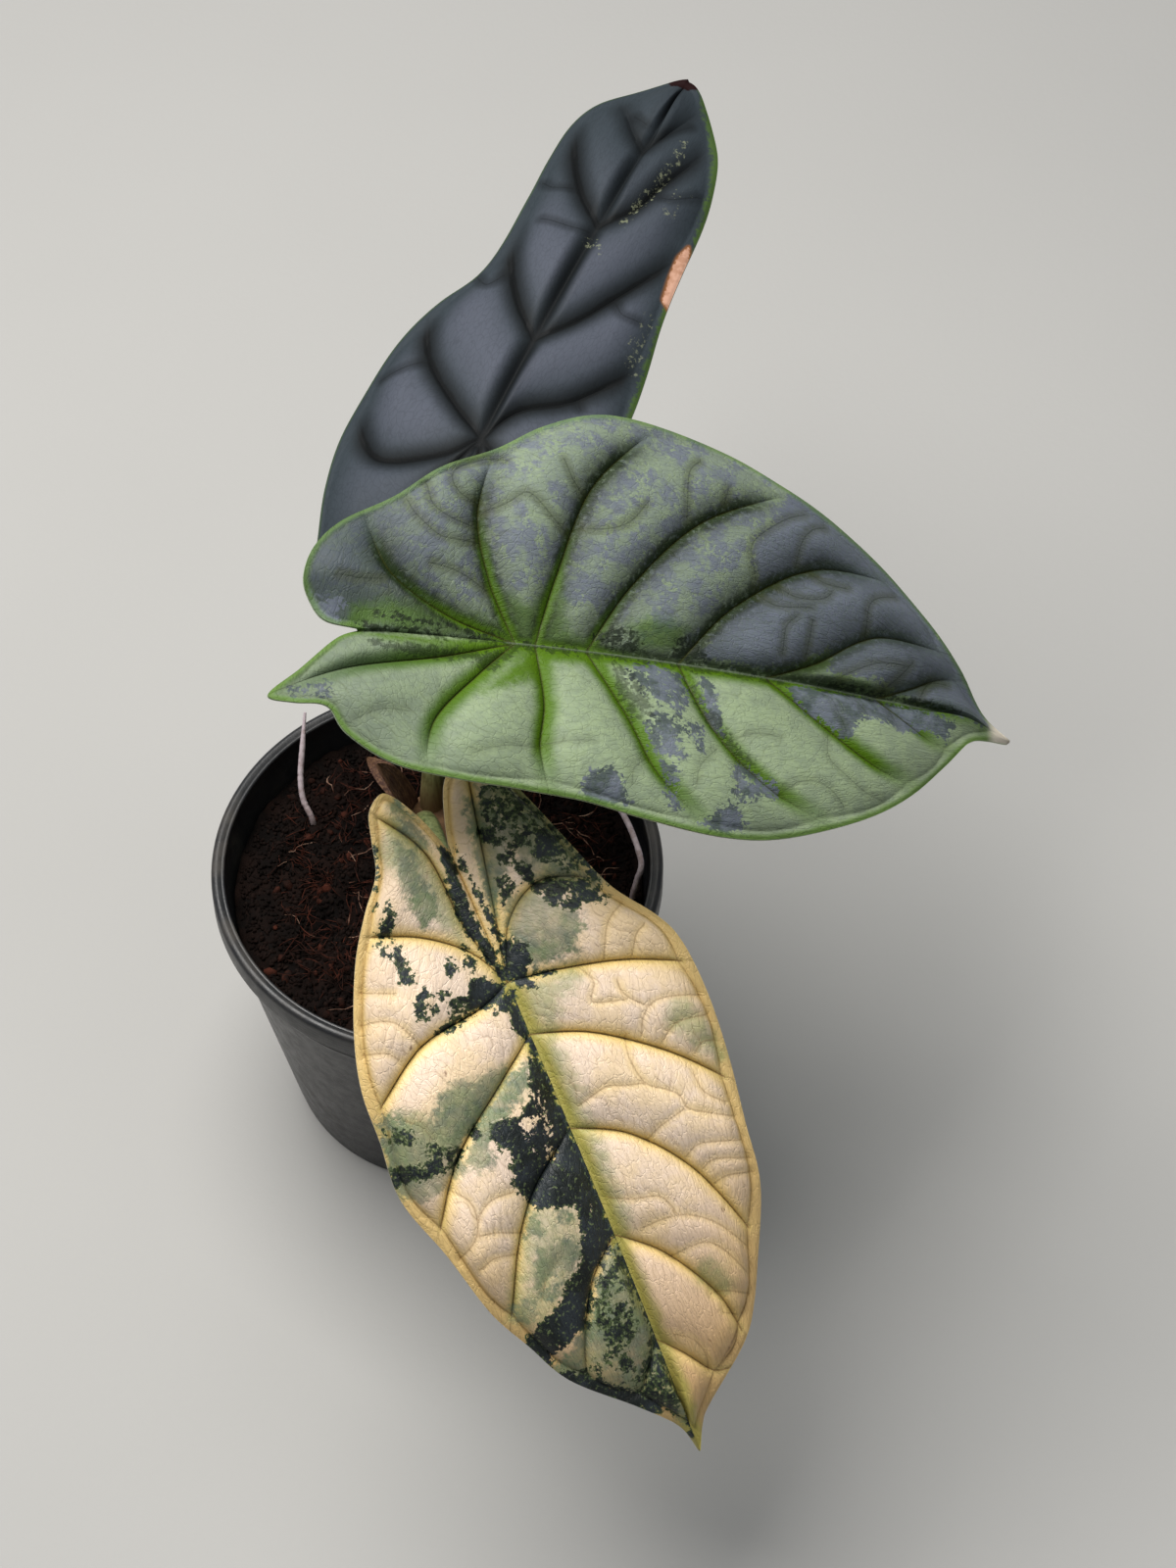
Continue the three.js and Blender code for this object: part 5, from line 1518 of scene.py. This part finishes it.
def foot_notch(i):
    """A block that cuts one notch in the foot ring."""
    turn = Matrix.Rotation(TAU * i / NOTCH_COUNT, 4, "Z")
    place = turn @ Matrix.Translation((BASE_RADIUS - 1, 0, 0)) @ Matrix.Diagonal((*NOTCH_SIZE, 1))
    mesh = bmesh.new()
    bmesh.ops.create_cube(mesh, size=1, matrix=place)
    points = [tuple(vert.co) for vert in mesh.verts]
    faces = [[vert.index for vert in face.verts] for face in mesh.faces]
    mesh.free()
    return new_mesh("notch", points, faces)


def build_pot(look):
    points, faces = revolve(pot_profile(look.wall / MM), look.segments)
    pot = new_mesh("nursery_pot", points, faces, 40)
    cutters = [drain_hole(i) for i in range(DRAIN_COUNT)]
    cutters += [foot_notch(i) for i in range(NOTCH_COUNT)]
    pot = cut_away(pot, cutters)
    pot.data.shade_smooth()
    pot.data.set_sharp_from_angle(angle=math.radians(35))
    return pot


def pot_material(look):
    w = new_material("pot_plastic")
    place = w.object_place()
    dust = w.group("grime", {"Amount": 0.5, "Scale": 55.0})["Mask"]
    sockets = {"Vector": place, "Scale": 260.0, "Distortion": 0.6}
    rings = w.node("ShaderNodeTexWave", sockets, wave_type="BANDS", bands_direction="Z").outputs[1]
    base = w.mix(w.times(w.noise(place, 35, 4.0), 0.25), look.plastic, WORN_PLASTIC)
    base = w.mix(w.times(dust, 0.55), base, look.dust)
    rough = w.ramp(w.noise(place, 260, 4.0, 0.7), 0.3, 0.7, 0.34, 0.46)
    rough = w.maths("MULTIPLY_ADD", dust, 0.35, rough)
    height = w.maths("MULTIPLY_ADD", rings, 0.2, w.noise(place, 1700, 3.0, 0.6))
    return close_material(w, base, rough, height, 0.05, 0.5)


# Soil

SOIL_LEVEL = 80.5
SOIL_RINGS = 64
SOIL_SEGMENTS = 168
CRUMB_REACH = 53 * MM
CRUMB_DENT = 0.9 * MM
CHIP_REACH = 51 * MM
CHIP_DENT = 1.6 * MM
FIBRE_REACH = 46.5 * MM
FIBRE_BEND = 12.5 * MM
STREWN_FLATNESS = 0.35
STREWN_ABOVE = 70 * MM
SCATTER_INPUTS = {
    "Geometry": "Geometry", "Density": "Float", "Seed": "Int", "Reach": "Float", "Size": "Float",
    "Thickness": "Float", "Material": "Material",
}


def soil_height(x, y):
    mound = 1.6 * math.exp(-((x - CROWN.x) ** 2 + (y - CROWN.y) ** 2) / 500)
    wavy = math.sin(x * 0.21 + 1) * math.cos(y * 0.19) + 0.6 * math.sin(x * 0.43 - y * 0.37)
    return SOIL_LEVEL + mound + 0.66 * wavy


def lumpy(x, y, level):
    """Height of the peat with its lumps, in millimetres."""
    clods = noise.fractal(Vector((x, y, level)) * 0.16, 0.8, 2.1, 4)
    crumbs = noise.turbulence(Vector((x, y, 3)) * 0.45, 3, False)
    return level + 1.3 * clods + 0.9 * (crumbs - 0.5)


def build_soil():
    """Peat: a closed body with a lumpy top."""
    rim = SOIL_HIGH.x - 0.1
    foot = SOIL_LOW.z
    profile = [(0, foot), (rim * 0.62, foot), (rim * 0.78, SOIL_LEVEL * 0.5), (rim, SOIL_LEVEL - 2.5)]
    profile += [(rim * share, SOIL_LEVEL) for share in np.linspace(0.992, 0, SOIL_RINGS)]
    points, faces = revolve(profile, SOIL_SEGMENTS)
    for point in points:
        if point[2] > SOIL_LEVEL - 0.5:
            point[2] = lumpy(point[0], point[1], soil_height(point[0], point[1]))
    return new_mesh("peat", points, faces, 180)


class ScatterTree:
    """Geometry Nodes that strew small shapes over a surface, as one plain geometry."""

    def __init__(self, name):
        self.tree = bpy.data.node_groups.new(name, "GeometryNodeTree")
        face = self.tree.interface
        face.new_socket("Geometry", in_out="OUTPUT", socket_type="NodeSocketGeometry")
        for label, kind in SCATTER_INPUTS.items():
            face.new_socket(label, in_out="INPUT", socket_type=f"NodeSocket{kind}")
        self.w = Wiring(self.tree)
        self.given = self.w.node("NodeGroupInput").outputs

    def step(self, kind, sockets, **settings):
        """A geometry node and what comes out of it first."""
        return self.w.node(f"GeometryNode{kind}", sockets, **settings).outputs[0]

    def random(self, low, high, seed):
        vector = isinstance(low, tuple)
        sockets = {0 if vector else 2: low, 1 if vector else 3: high, "Seed": seed}
        kind = "FLOAT_VECTOR" if vector else "FLOAT"
        node = self.w.node("FunctionNodeRandomValue", sockets, data_type=kind)
        return node.outputs[0 if vector else 1]

    def place(self):
        return self.w.node("GeometryNodeInputPosition").outputs[0]

    def points(self):
        """Points on the surface, none near the wall."""
        flat = self.w.vector("MULTIPLY", self.place(), (1, 1, 0))
        reach = self.w.node("ShaderNodeVectorMath", {0: flat}, operation="LENGTH").outputs["Value"]
        inside = self.w.maths("LESS_THAN", reach, self.given["Reach"])
        density = self.w.times(inside, self.given["Density"])
        sockets = {"Mesh": self.given["Geometry"], "Density": density, "Seed": self.given["Seed"]}
        return self.step("DistributePointsOnFaces", sockets, distribute_method="RANDOM")

    def strew(self, shape, turn, stretch):
        """Copies of a shape on the points, as plain geometry."""
        sockets = {"Points": self.points(), "Instance": shape, "Rotation": turn, "Scale": stretch}
        return self.step("RealizeInstances", {"Geometry": self.step("InstanceOnPoints", sockets)})

    def swirl(self, geometry, scale, detail, middle, reach):
        """Geometry moved by noise, as far as the reach, from the noise's middle value."""
        sockets = {"Vector": self.place(), "Scale": scale, "Detail": detail}
        swirl = self.w.node("ShaderNodeTexNoise", sockets).outputs["Color"]
        offset = self.w.vector("SCALE", self.w.vector("SUBTRACT", swirl, middle), reach)
        return self.step("SetPosition", {"Geometry": geometry, "Offset": offset})

    def finish(self, geometry):
        sockets = {"Geometry": geometry, "Material": self.given["Material"]}
        self.w.node("NodeGroupOutput", {0: self.step("SetMaterial", sockets)})
        return self.tree


def fibre_tree():
    """Bent threads lying on the peat."""
    scatter = ScatterTree("strewn_fibres")
    w = scatter.w
    half = w.times(scatter.given["Size"], 0.5)
    ends = [w.node("ShaderNodeCombineXYZ", {0: w.times(half, sign)}).outputs[0] for sign in (-1.0, 1.0)]
    line = scatter.step("CurvePrimitiveLine", {0: ends[0], 1: ends[1]})
    line = scatter.step("ResampleCurve", {"Curve": line, "Count": 9})
    turn = scatter.random((-0.35, -0.35, 0.0), (0.35, 0.35, TAU), 11)
    curves = scatter.strew(line, turn, scatter.random(0.35, 1.25, 12))
    bent = scatter.swirl(curves, 95.0, 2.0, (0.5, 0.5, 0.42), FIBRE_BEND)
    share = w.node("GeometryNodeSplineParameter").outputs["Factor"]
    from_middle = w.maths("ABSOLUTE", w.maths("MULTIPLY_ADD", share, 2.0, -1.0))
    taper = w.maths("SUBTRACT", 1.0, w.maths("POWER", from_middle, 3.0))
    radius = w.times(w.maths("MULTIPLY_ADD", taper, 0.8, 0.2), scatter.random(0.5, 1.4, 13))
    ring = scatter.step("CurvePrimitiveCircle", {"Resolution": 4, "Radius": scatter.given["Thickness"]})
    sockets = {"Curve": bent, "Profile Curve": ring, "Scale": radius, "Fill Caps": True}
    return scatter.finish(scatter.step("CurveToMesh", sockets))


def crumb_tree():
    """Rough grains half sunk in the peat; Thickness is how far noise dents them."""
    scatter = ScatterTree("strewn_crumbs")
    grain = scatter.step("MeshIcoSphere", {"Radius": scatter.given["Size"], "Subdivisions": 1})
    turn = scatter.random((0.0, 0.0, 0.0), (TAU, TAU, TAU), 21)
    stretch = scatter.random((0.35, 0.3, 0.3), (1.3, 1.0, 0.9), 22)
    solid = scatter.strew(grain, turn, stretch)
    return scatter.finish(scatter.swirl(solid, 900.0, 1.0, (0.5, 0.5, 0.5), scatter.given["Thickness"]))


def strewn(name, ground, tree, **inputs):
    """A plain mesh of what a scatter tree lays on the ground's upper face."""
    obj = new_object(name, ground.data.copy())
    mesh = bmesh.new()
    mesh.from_mesh(obj.data)
    rest = [
        face for face in mesh.faces
        if face.normal.z < STREWN_FLATNESS or face.calc_center_median().z < STREWN_ABOVE
    ]
    bmesh.ops.delete(mesh, geom=rest, context="FACES")
    mesh.to_mesh(obj.data)
    mesh.free()
    modifier = obj.modifiers.new("strew", "NODES")
    modifier.node_group = tree
    for item in tree.interface.items_tree:
        if item.in_out == "INPUT" and item.name in inputs:
            modifier[item.identifier] = inputs[item.name]
    plain = baked(obj, name)
    plain.data.shade_smooth()
    return plain


def soil_material(name, dark, light, scale, seed, depth):
    w = new_material(name)
    place = w.object_place()
    cloud = w.ramp(w.noise(place, scale, 5.0, 0.65, seed), 0.38, 0.68)
    base = w.mix(cloud, dark, light)
    base = w.mix(w.ramp(w.noise(place, scale * 6, 3.0, 0.6, seed + 1), 0.66, 0.76, 0.0, 0.5), base, light)
    rough = w.ramp(w.noise(place, scale * 2, 3.0), 0.3, 0.7, 0.72, 0.95)
    return close_material(w, base, rough, w.noise(place, 1400, 5.0, 0.7), depth, 0.05)


# Stalks, stem base, roots and scales; lengths in millimetres, angles in degrees from +X

STALK_POINTS = 90
STALK_SIDES = 36
ROOT_POINTS = 110
ROOT_SIDES = 20
RING_SCAR = 0.35
SCALE_STEP = 0.01
UPRIGHT_SCALE = {
    "height": 25, "foot_radius": 8.6, "lean": 0.16, "flare": 0.006, "bearing": 172, "spread": 34,
    "twist": 10,
}
FALLEN_SCALE = {
    "foot": (-9.2, 27.2), "bearing": 131, "length": 17, "half_width": 3.6, "lift": 2.2,
    "arch": 2.6, "cup": 1.4,
}


def stalk_path(leaf, count):
    z = np.array(leaf_axes(leaf)[2])
    base, rise, drop = (leaf["stalk"][name] for name in ("base", "rise", "drop"))
    foot = np.array((*base, STEM_HIGH.z + 0.1))
    head = np.array(leaf["attach"]) - z * (SEAT_DEPTH - 0.2)
    return bezier((foot, foot + (0, 0, rise), head - z * drop, head), count)


def build_stalk(name, leaf, look):
    share = np.linspace(0, 1, STALK_POINTS)
    radii = lerp(look.stalk_base, look.stalk_top, share**0.6) / MM
    radii = radii * (1 + 0.22 * smoothstep(share, 0.94, 1.0))

    def section(at, angle):
        furrow = -0.16 * math.exp(-((math.cos(angle / 2) / 0.3) ** 2)) * smoothstep(at, 0.05, 0.3)
        sheath = 0.14 * math.cos(angle) * (1 - smoothstep(at, 0.1, 0.3))
        ribs = 0.012 * math.sin(11 * angle + 3 * at)
        return 1 + furrow + sheath + ribs

    points, faces = tube(stalk_path(leaf, STALK_POINTS), radii, STALK_SIDES, section)
    stalk = new_mesh(f"stalk_{name}", points, faces, 60)
    set_attribute(stalk, "stalk_share", np.repeat(share, STALK_SIDES))
    return stalk


def stalk_material(look):
    w = new_material("stalk")
    place = w.object_place()
    share = w.attribute("stalk_share")
    streak = w.noise(w.scaled(place, 1.0, 1.0, 0.08), 900, 4.0, 0.7)
    speck = w.ramp(w.noise(w.scaled(place, 1.0, 1.0, 0.35), 620, 3.0, 0.7, 2.0), 0.52, 0.64)
    # The stalk greens carry painted shade for the shade under the leaves.
    base = w.mix(w.ramp(streak, 0.4, 0.66), look.stalk, look.stalk_dark)
    base = w.mix(w.times(speck, 0.55), base, look.stalk_dark)
    base = w.mix(w.ramp(share, 0.02, 0.2, 0.75, 0.0), base, look.sheath)
    base = w.mix(w.ramp(share, 0.93, 1.0, 0.0, 0.6), base, look.stalk_dark)
    height = w.maths("ADD", streak, w.times(w.noise(place, 2200, 2.0), 0.3))
    return close_material(w, base, 0.4, height, 0.06, 0.45)


def build_stem_base(look):
    """Short stem base with the ring scars of old leaves."""
    foot, top = STEM_LOW.z, STEM_HIGH.z
    radius = (STEM_HIGH.x - STEM_LOW.x) / 2
    profile = [(0, foot), (radius * 0.62, foot)]
    for share in np.linspace(0.15, 0.94, 26):
        ring = RING_SCAR * abs(math.sin(share * 15)) ** 0.5
        girth = lerp(radius * 0.8, radius * 0.97, min(1, share * 1.8))
        profile.append((girth - 0.6 + ring, lerp(foot, top, share)))
    profile += [(radius * 0.93, top - 0.4), (radius * 0.8, top), (radius * 0.4, top), (0, top)]
    points, faces = revolve(profile, 64, (CROWN.x, CROWN.y))
    for point in points:
        if point[2] < top - 0.2:
            bump = noise.fractal(Vector(point) * 0.35, 1.0, 2.0, 3)
            point[:2] += (point[:2] - np.array((CROWN.x, CROWN.y))) * 0.035 * bump
    return new_mesh("stem_base", points, faces, 60)


def build_root(name, root, look):
    share = np.linspace(0, 1, ROOT_POINTS)
    path = spline(root["path"], share)
    radii = look.root_radius / MM * lerp(1, root["tip"], smoothstep(share, 0.8, 1))
    wobble = np.array([noise.noise(Vector((7 * s, 3, len(name)))) for s in share * 6])
    points, faces = tube(path, radii * (1 + 0.1 * wobble), ROOT_SIDES)
    return new_mesh(name.replace("root", "surface_root"), points, faces, 60)


def root_material(look):
    w = new_material("surface_root")
    place = w.object_place()
    height_share = w.node("ShaderNodeSeparateXYZ", {0: place}).outputs["Z"]
    low = w.ramp(height_share, 80 * MM, 92 * MM, 1.0, 0.0)
    stain = w.ramp(w.noise(place, 420, 5.0, 0.65), 0.46, 0.66)
    base = w.mix(w.times(stain, 0.6), look.root, look.root_dark)
    base = w.mix(w.times(low, 0.45), base, look.root_dark)
    height = w.noise(w.scaled(place, 1.0, 1.0, 0.4), 1400, 4.0, 0.6)
    return close_material(w, base, 0.62, height, 0.09, 0.35)


def upright_scale(a, b):
    """Arc round the crown that narrows and leans out as it rises."""
    size = UPRIGHT_SCALE
    height = size["height"] * a
    radius = size["foot_radius"] + size["lean"] * height + size["flare"] * height * height
    angle = math.radians(size["bearing"] + size["spread"] * b * (1 - a**2.2) + size["twist"] * a)
    foot = STEM_HIGH.z + 0.3
    return (CROWN.x + radius * math.cos(angle), CROWN.y + radius * math.sin(angle), foot + height)


def fallen_scale(a, b):
    """Pointed boat that lies on the peat beside the crown."""
    size = FALLEN_SCALE
    bearing = math.radians(size["bearing"])
    along = size["length"] * a
    aside = size["half_width"] * math.sin(math.pi * (0.22 + 0.78 * a)) ** 0.8 * b
    x = size["foot"][0] + along * math.cos(bearing) - aside * math.sin(bearing)
    y = size["foot"][1] + along * math.sin(bearing) + aside * math.cos(bearing)
    arch = size["arch"] * math.sin(math.pi * a * 0.8) + size["cup"] * (1 - b * b) * (1 - a)
    return (x, y, SOIL_LEVEL + size["lift"] + arch)


SCALES = {"cataphyll_upright": upright_scale, "cataphyll_fallen": fallen_scale}


def scale_sheet(spot_at, rows, columns):
    """Points and normals of a scale's outer face, with fibre ridges and a worn tip."""
    points, normals = [], []
    for i in range(rows + 1):
        for j in range(columns + 1):
            a = i / rows * 0.985
            b = 2 * j / columns - 1
            wear = 0.05 * noise.noise(Vector((b * 5, a * 3, 4))) * smoothstep(a, 0.5, 1)
            low, high = max(a - SCALE_STEP, 0.0), min(a + SCALE_STEP, 0.99)
            along = np.subtract(spot_at(high, b), spot_at(low, b))
            across = np.subtract(spot_at(a, b + SCALE_STEP), spot_at(a, b - SCALE_STEP))
            normal = np.cross(along, across)
            normal /= np.linalg.norm(normal)
            ridge = 0.09 * math.sin(b * 26) + 0.22 * noise.noise(Vector((b * 3, a * 4, 1)))
            spot = np.array(spot_at(max(a * (1 - wear), 0), b))
            points.append(spot + normal * ridge * smoothstep(a, 0, 0.1))
            normals.append(normal)
    return np.array(points), np.array(normals)


def build_scale(name, spot_at, look):
    """A thin closed shell on a curved sheet."""
    rows, columns = 56, 34
    outer, normals = scale_sheet(spot_at, rows, columns)
    inner = outer + normals * (look.scale_thickness / MM * 0.6)
    width = columns + 1
    corners = [i * width + j for i in range(rows) for j in range(columns)]
    faces = [(a, a + 1, a + width + 1, a + width) for a in corners]
    count = len(outer)
    shell = faces + [tuple(corner + count for corner in face[::-1]) for face in faces]
    border = (
        [(j, j + 1) for j in range(columns)]
        + [(rows * width + j + 1, rows * width + j) for j in range(columns)]
        + [((i + 1) * width, i * width) for i in range(rows)]
        + [(i * width + columns, (i + 1) * width + columns) for i in range(rows)]
    )
    shell += [(b, a, a + count, b + count) for a, b in border]
    piece = name.replace("cataphyll", "papery_scale")
    scale = new_mesh(piece, np.concatenate([outer, inner]), shell, 60)
    mesh = bmesh.new()
    mesh.from_mesh(scale.data)
    bmesh.ops.recalc_face_normals(mesh, faces=mesh.faces)
    mesh.to_mesh(scale.data)
    mesh.free()
    rises = np.repeat(np.linspace(0, 1, rows + 1), width)
    set_attribute(scale, "scale_share", np.tile(rises, 2))
    return scale


def scale_material(look):
    w = new_material("papery_scale")
    place = w.object_place()
    share = w.attribute("scale_share")
    fibres = w.noise(w.scaled(place, 1.0, 1.0, 0.07), 1300, 4.0, 0.7)
    blotch = w.ramp(w.noise(place, 170, 4.0, 0.6), 0.4, 0.65)
    # The scale browns carry painted shade for the shade under the leaves.
    base = w.mix(w.ramp(fibres, 0.42, 0.62), look.scale, look.scale_pale)
    base = w.mix(w.times(blotch, 0.6), base, look.scale)
    base = w.mix(w.ramp(share, 0.7, 1.0, 0.0, 0.6), base, look.scale_pale)
    return close_material(w, base, 0.75, fibres, 0.14, 0.3)


def bark_material(look):
    w = new_material("stem_bark")
    place = w.object_place()
    crust = w.noise(w.scaled(place, 1.0, 1.0, 2.2), 260, 5.0, 0.65)
    base = w.mix(w.ramp(crust, 0.4, 0.65), look.bark, look.sheath)
    base = w.mix(w.ramp(w.noise(place, 700, 3.0), 0.58, 0.7, 0.0, 0.6), base, look.scale)
    return close_material(w, base, 0.85, crust, 0.5, 0.25)


# Stage

CAMERA_PLACE = Vector((40, -566, 895)) * MM
AIM = Vector((30, 0, 120)) * MM
FLOOR_HALF = 12.0
KEY_PLACE = Vector((-0.3, 0.2, 1.18))
KEY_SIZE = 0.85
KEY_TINT = (1.0, 0.98, 0.95)
FILL_PLACE = Vector((0.9, -0.5, 0.9))
FILL_SIZE = 1.0
FILL_TINT = (0.94, 0.97, 1.0)


def soft_light(name, place, size, power, tint):
    """A square soft light that points at the plant."""
    data = bpy.data.lights.new(name, "AREA")
    data.size = size
    data.energy = power
    data.color = tint
    light = new_object(name, data)
    light.location = place
    light.rotation_euler = (AIM - light.location).to_track_quat("-Z", "Y").to_euler()


def build_floor(look):
    mesh = bpy.data.meshes.new("floor")
    corners = [(x * FLOOR_HALF, y * FLOOR_HALF, 0) for x, y in ((-1, -1), (1, -1), (1, 1), (-1, 1))]
    mesh.from_pydata(corners, [], [(0, 1, 2, 3)])
    floor = new_object("floor", mesh)
    w = new_material("pale_floor")
    place = w.object_place()
    tone = tuple(channel * 0.94 for channel in look.floor)
    base = w.mix(w.noise(place, 6, 3.0), look.floor, tone)
    material = close_material(w, base, 0.7, w.noise(place, 400, 2.0), 0.05, 0.3)
    floor.data.materials.append(material)


def build_stage(look):
    build_floor(look)
    world = bpy.data.worlds.new("surround")
    world.use_nodes = True
    sky = world.node_tree.nodes["Background"]
    sky.inputs["Color"].default_value = rgba(look.sky)
    sky.inputs["Strength"].default_value = look.sky_strength
    bpy.context.scene.world = world
    soft_light("key", KEY_PLACE, KEY_SIZE, look.key_power, KEY_TINT)
    soft_light("fill", FILL_PLACE, FILL_SIZE, look.fill_power, FILL_TINT)
    bpy.context.scene.view_settings.view_transform = "Standard"

    data = bpy.data.cameras.new("camera")
    data.lens = look.lens
    data.sensor_width = 36
    camera = new_object("camera", data)
    camera.location = CAMERA_PLACE
    camera.rotation_euler = Euler((math.pi / 2 - look.pitch, 0, 0))
    bpy.context.scene.camera = camera


# Operators


class ALOCASIA_OT_pot(bpy.types.Operator):
    """Build the nursery pot with its rolled lip, foot ring and drain holes"""

    bl_idname = "alocasia.pot"
    bl_label = "Nursery pot"

    def execute(self, context):
        look = context.scene.alocasia_pot
        hand_over(build_pot(look), pot_material(look), "pot", "pot")
        return {"FINISHED"}


class ALOCASIA_OT_soil(bpy.types.Operator):
    """Fill the pot with peat, and strew crumbs, chips and coir fibres on it"""

    bl_idname = "alocasia.soil"
    bl_label = "Soil"

    def execute(self, context):
        look = context.scene.alocasia_soil
        peat = build_soil()
        fibres, crumbs = fibre_tree(), crumb_tree()
        red = soil_material("coir", look.peat_light, look.coir, 300, 1.0, 0.05)
        pale = soil_material("pale_coir", look.coir, look.coir_pale, 260, 2.0, 0.05)
        grain = soil_material("peat_crumb", look.peat, look.peat_light, 120, 3.0, 0.2)
        bark = soil_material("bark_chip", look.peat_light, look.coir, 140, 4.0, 0.25)
        long, thick = look.fibre_length, look.fibre_thickness
        layers = [
            ("crumbs", crumbs, grain, 6.0e5, 3, CRUMB_REACH, look.crumb_size, CRUMB_DENT),
            ("chips", crumbs, bark, 1.6e4, 5, CHIP_REACH, look.chip_size, CHIP_DENT),
            ("coir_fibres", fibres, red, 9.0e4, 7, FIBRE_REACH, long, thick),
            ("pale_fibres", fibres, pale, 1.3e4, 9, FIBRE_REACH, long * 1.1, thick * 1.15),
        ]
        for name, tree, material, density, seed, reach, size, thickness in layers:
            layer = strewn(
                name, peat, tree, Density=density, Seed=seed, Reach=reach, Size=size,
                Thickness=thickness, Material=material,
            )
            hand_over(layer, material, "soil")
        surface = soil_material("peat", look.peat, look.peat_light, 90, 0.0, 0.3)
        hand_over(peat, surface, "soil", "soil")
        return {"FINISHED"}


class ALOCASIA_OT_blades(bpy.types.Operator):
    """Grow the three quilted leaf blades"""

    bl_idname = "alocasia.blades"
    bl_label = "Leaf blades"

    def execute(self, context):
        for name, leaf in LEAVES.items():
            blade = build_blade(name, leaf, context.scene.alocasia_blade)
            material = LEAF_MATERIALS[name](getattr(context.scene, f"alocasia_{name}_leaf"))
            hand_over(blade, material, f"blade_{name}", f"blade_{name}")
        return {"FINISHED"}


class ALOCASIA_OT_stalks(bpy.types.Operator):
    """Grow the stem base and the three stalks on it"""

    bl_idname = "alocasia.stalks"
    bl_label = "Stalks and stem base"

    def execute(self, context):
        look = context.scene.alocasia_stem
        hand_over(build_stem_base(look), bark_material(look), "rhizome", "rhizome")
        material = stalk_material(look)
        for name, leaf in LEAVES.items():
            hand_over(build_stalk(name, leaf, look), material, "petiole", f"petiole_{name}")
        return {"FINISHED"}


class ALOCASIA_OT_roots(bpy.types.Operator):
    """Lay the two pale surface roots"""

    bl_idname = "alocasia.roots"
    bl_label = "Surface roots"

    def execute(self, context):
        look = context.scene.alocasia_stem
        material = root_material(look)
        for name, root in ROOTS.items():
            hand_over(build_root(name, root, look), material, "root", name)
        return {"FINISHED"}


class ALOCASIA_OT_scales(bpy.types.Operator):
    """Wrap the crown in its two dry, papery scales"""

    bl_idname = "alocasia.scales"
    bl_label = "Papery scales"

    def execute(self, context):
        look = context.scene.alocasia_stem
        material = scale_material(look)
        for name, spot_at in SCALES.items():
            hand_over(build_scale(name, spot_at, look), material, "cataphyll", name)
        return {"FINISHED"}


class ALOCASIA_OT_stage(bpy.types.Operator):
    """Set the pale floor, the soft lights and the camera"""

    bl_idname = "alocasia.stage"
    bl_label = "Stage"

    def execute(self, context):
        build_stage(context.scene.alocasia_stage)
        return {"FINISHED"}


LOOKS = {
    "alocasia_pot": PotLook,
    "alocasia_soil": SoilLook,
    "alocasia_blade": BladeLook,
    "alocasia_front_leaf": FrontLeafLook,
    "alocasia_middle_leaf": MiddleLeafLook,
    "alocasia_back_leaf": BackLeafLook,
    "alocasia_stem": StemLook,
    "alocasia_stage": StageLook,
}
OPERATORS = (
    ALOCASIA_OT_stage, ALOCASIA_OT_pot, ALOCASIA_OT_soil, ALOCASIA_OT_blades,
    ALOCASIA_OT_stalks, ALOCASIA_OT_roots, ALOCASIA_OT_scales,
)


class ALOCASIA_PT_plant(bpy.types.Panel):
    """Lists the pieces of the plant and their sizes and colours"""

    bl_label = "Potted alocasia"
    bl_idname = "ALOCASIA_PT_plant"
    bl_space_type = "VIEW_3D"
    bl_region_type = "UI"
    bl_category = "Alocasia"

    def draw(self, context):
        for operator in OPERATORS:
            self.layout.operator(operator.bl_idname)
        for name, look in LOOKS.items():
            box = self.layout.box()
            box.label(text=look.__doc__)
            for key in look.__annotations__:
                box.prop(getattr(context.scene, name), key)


CLASSES = (*LOOKS.values(), *OPERATORS, ALOCASIA_PT_plant)


def register():
    for cls in CLASSES:
        bpy.utils.register_class(cls)
    for name, look in LOOKS.items():
        setattr(bpy.types.Scene, name, PointerProperty(type=look))


def unregister():
    for name in LOOKS:
        delattr(bpy.types.Scene, name)
    for cls in reversed(CLASSES):
        bpy.utils.unregister_class(cls)


def main():
    register()
    bpy.ops.alocasia.stage()
    bpy.ops.alocasia.pot()
    bpy.ops.alocasia.soil()
    bpy.ops.alocasia.blades()
    bpy.ops.alocasia.stalks()
    bpy.ops.alocasia.roots()
    bpy.ops.alocasia.scales()


if __name__ == "__main__":
    main()
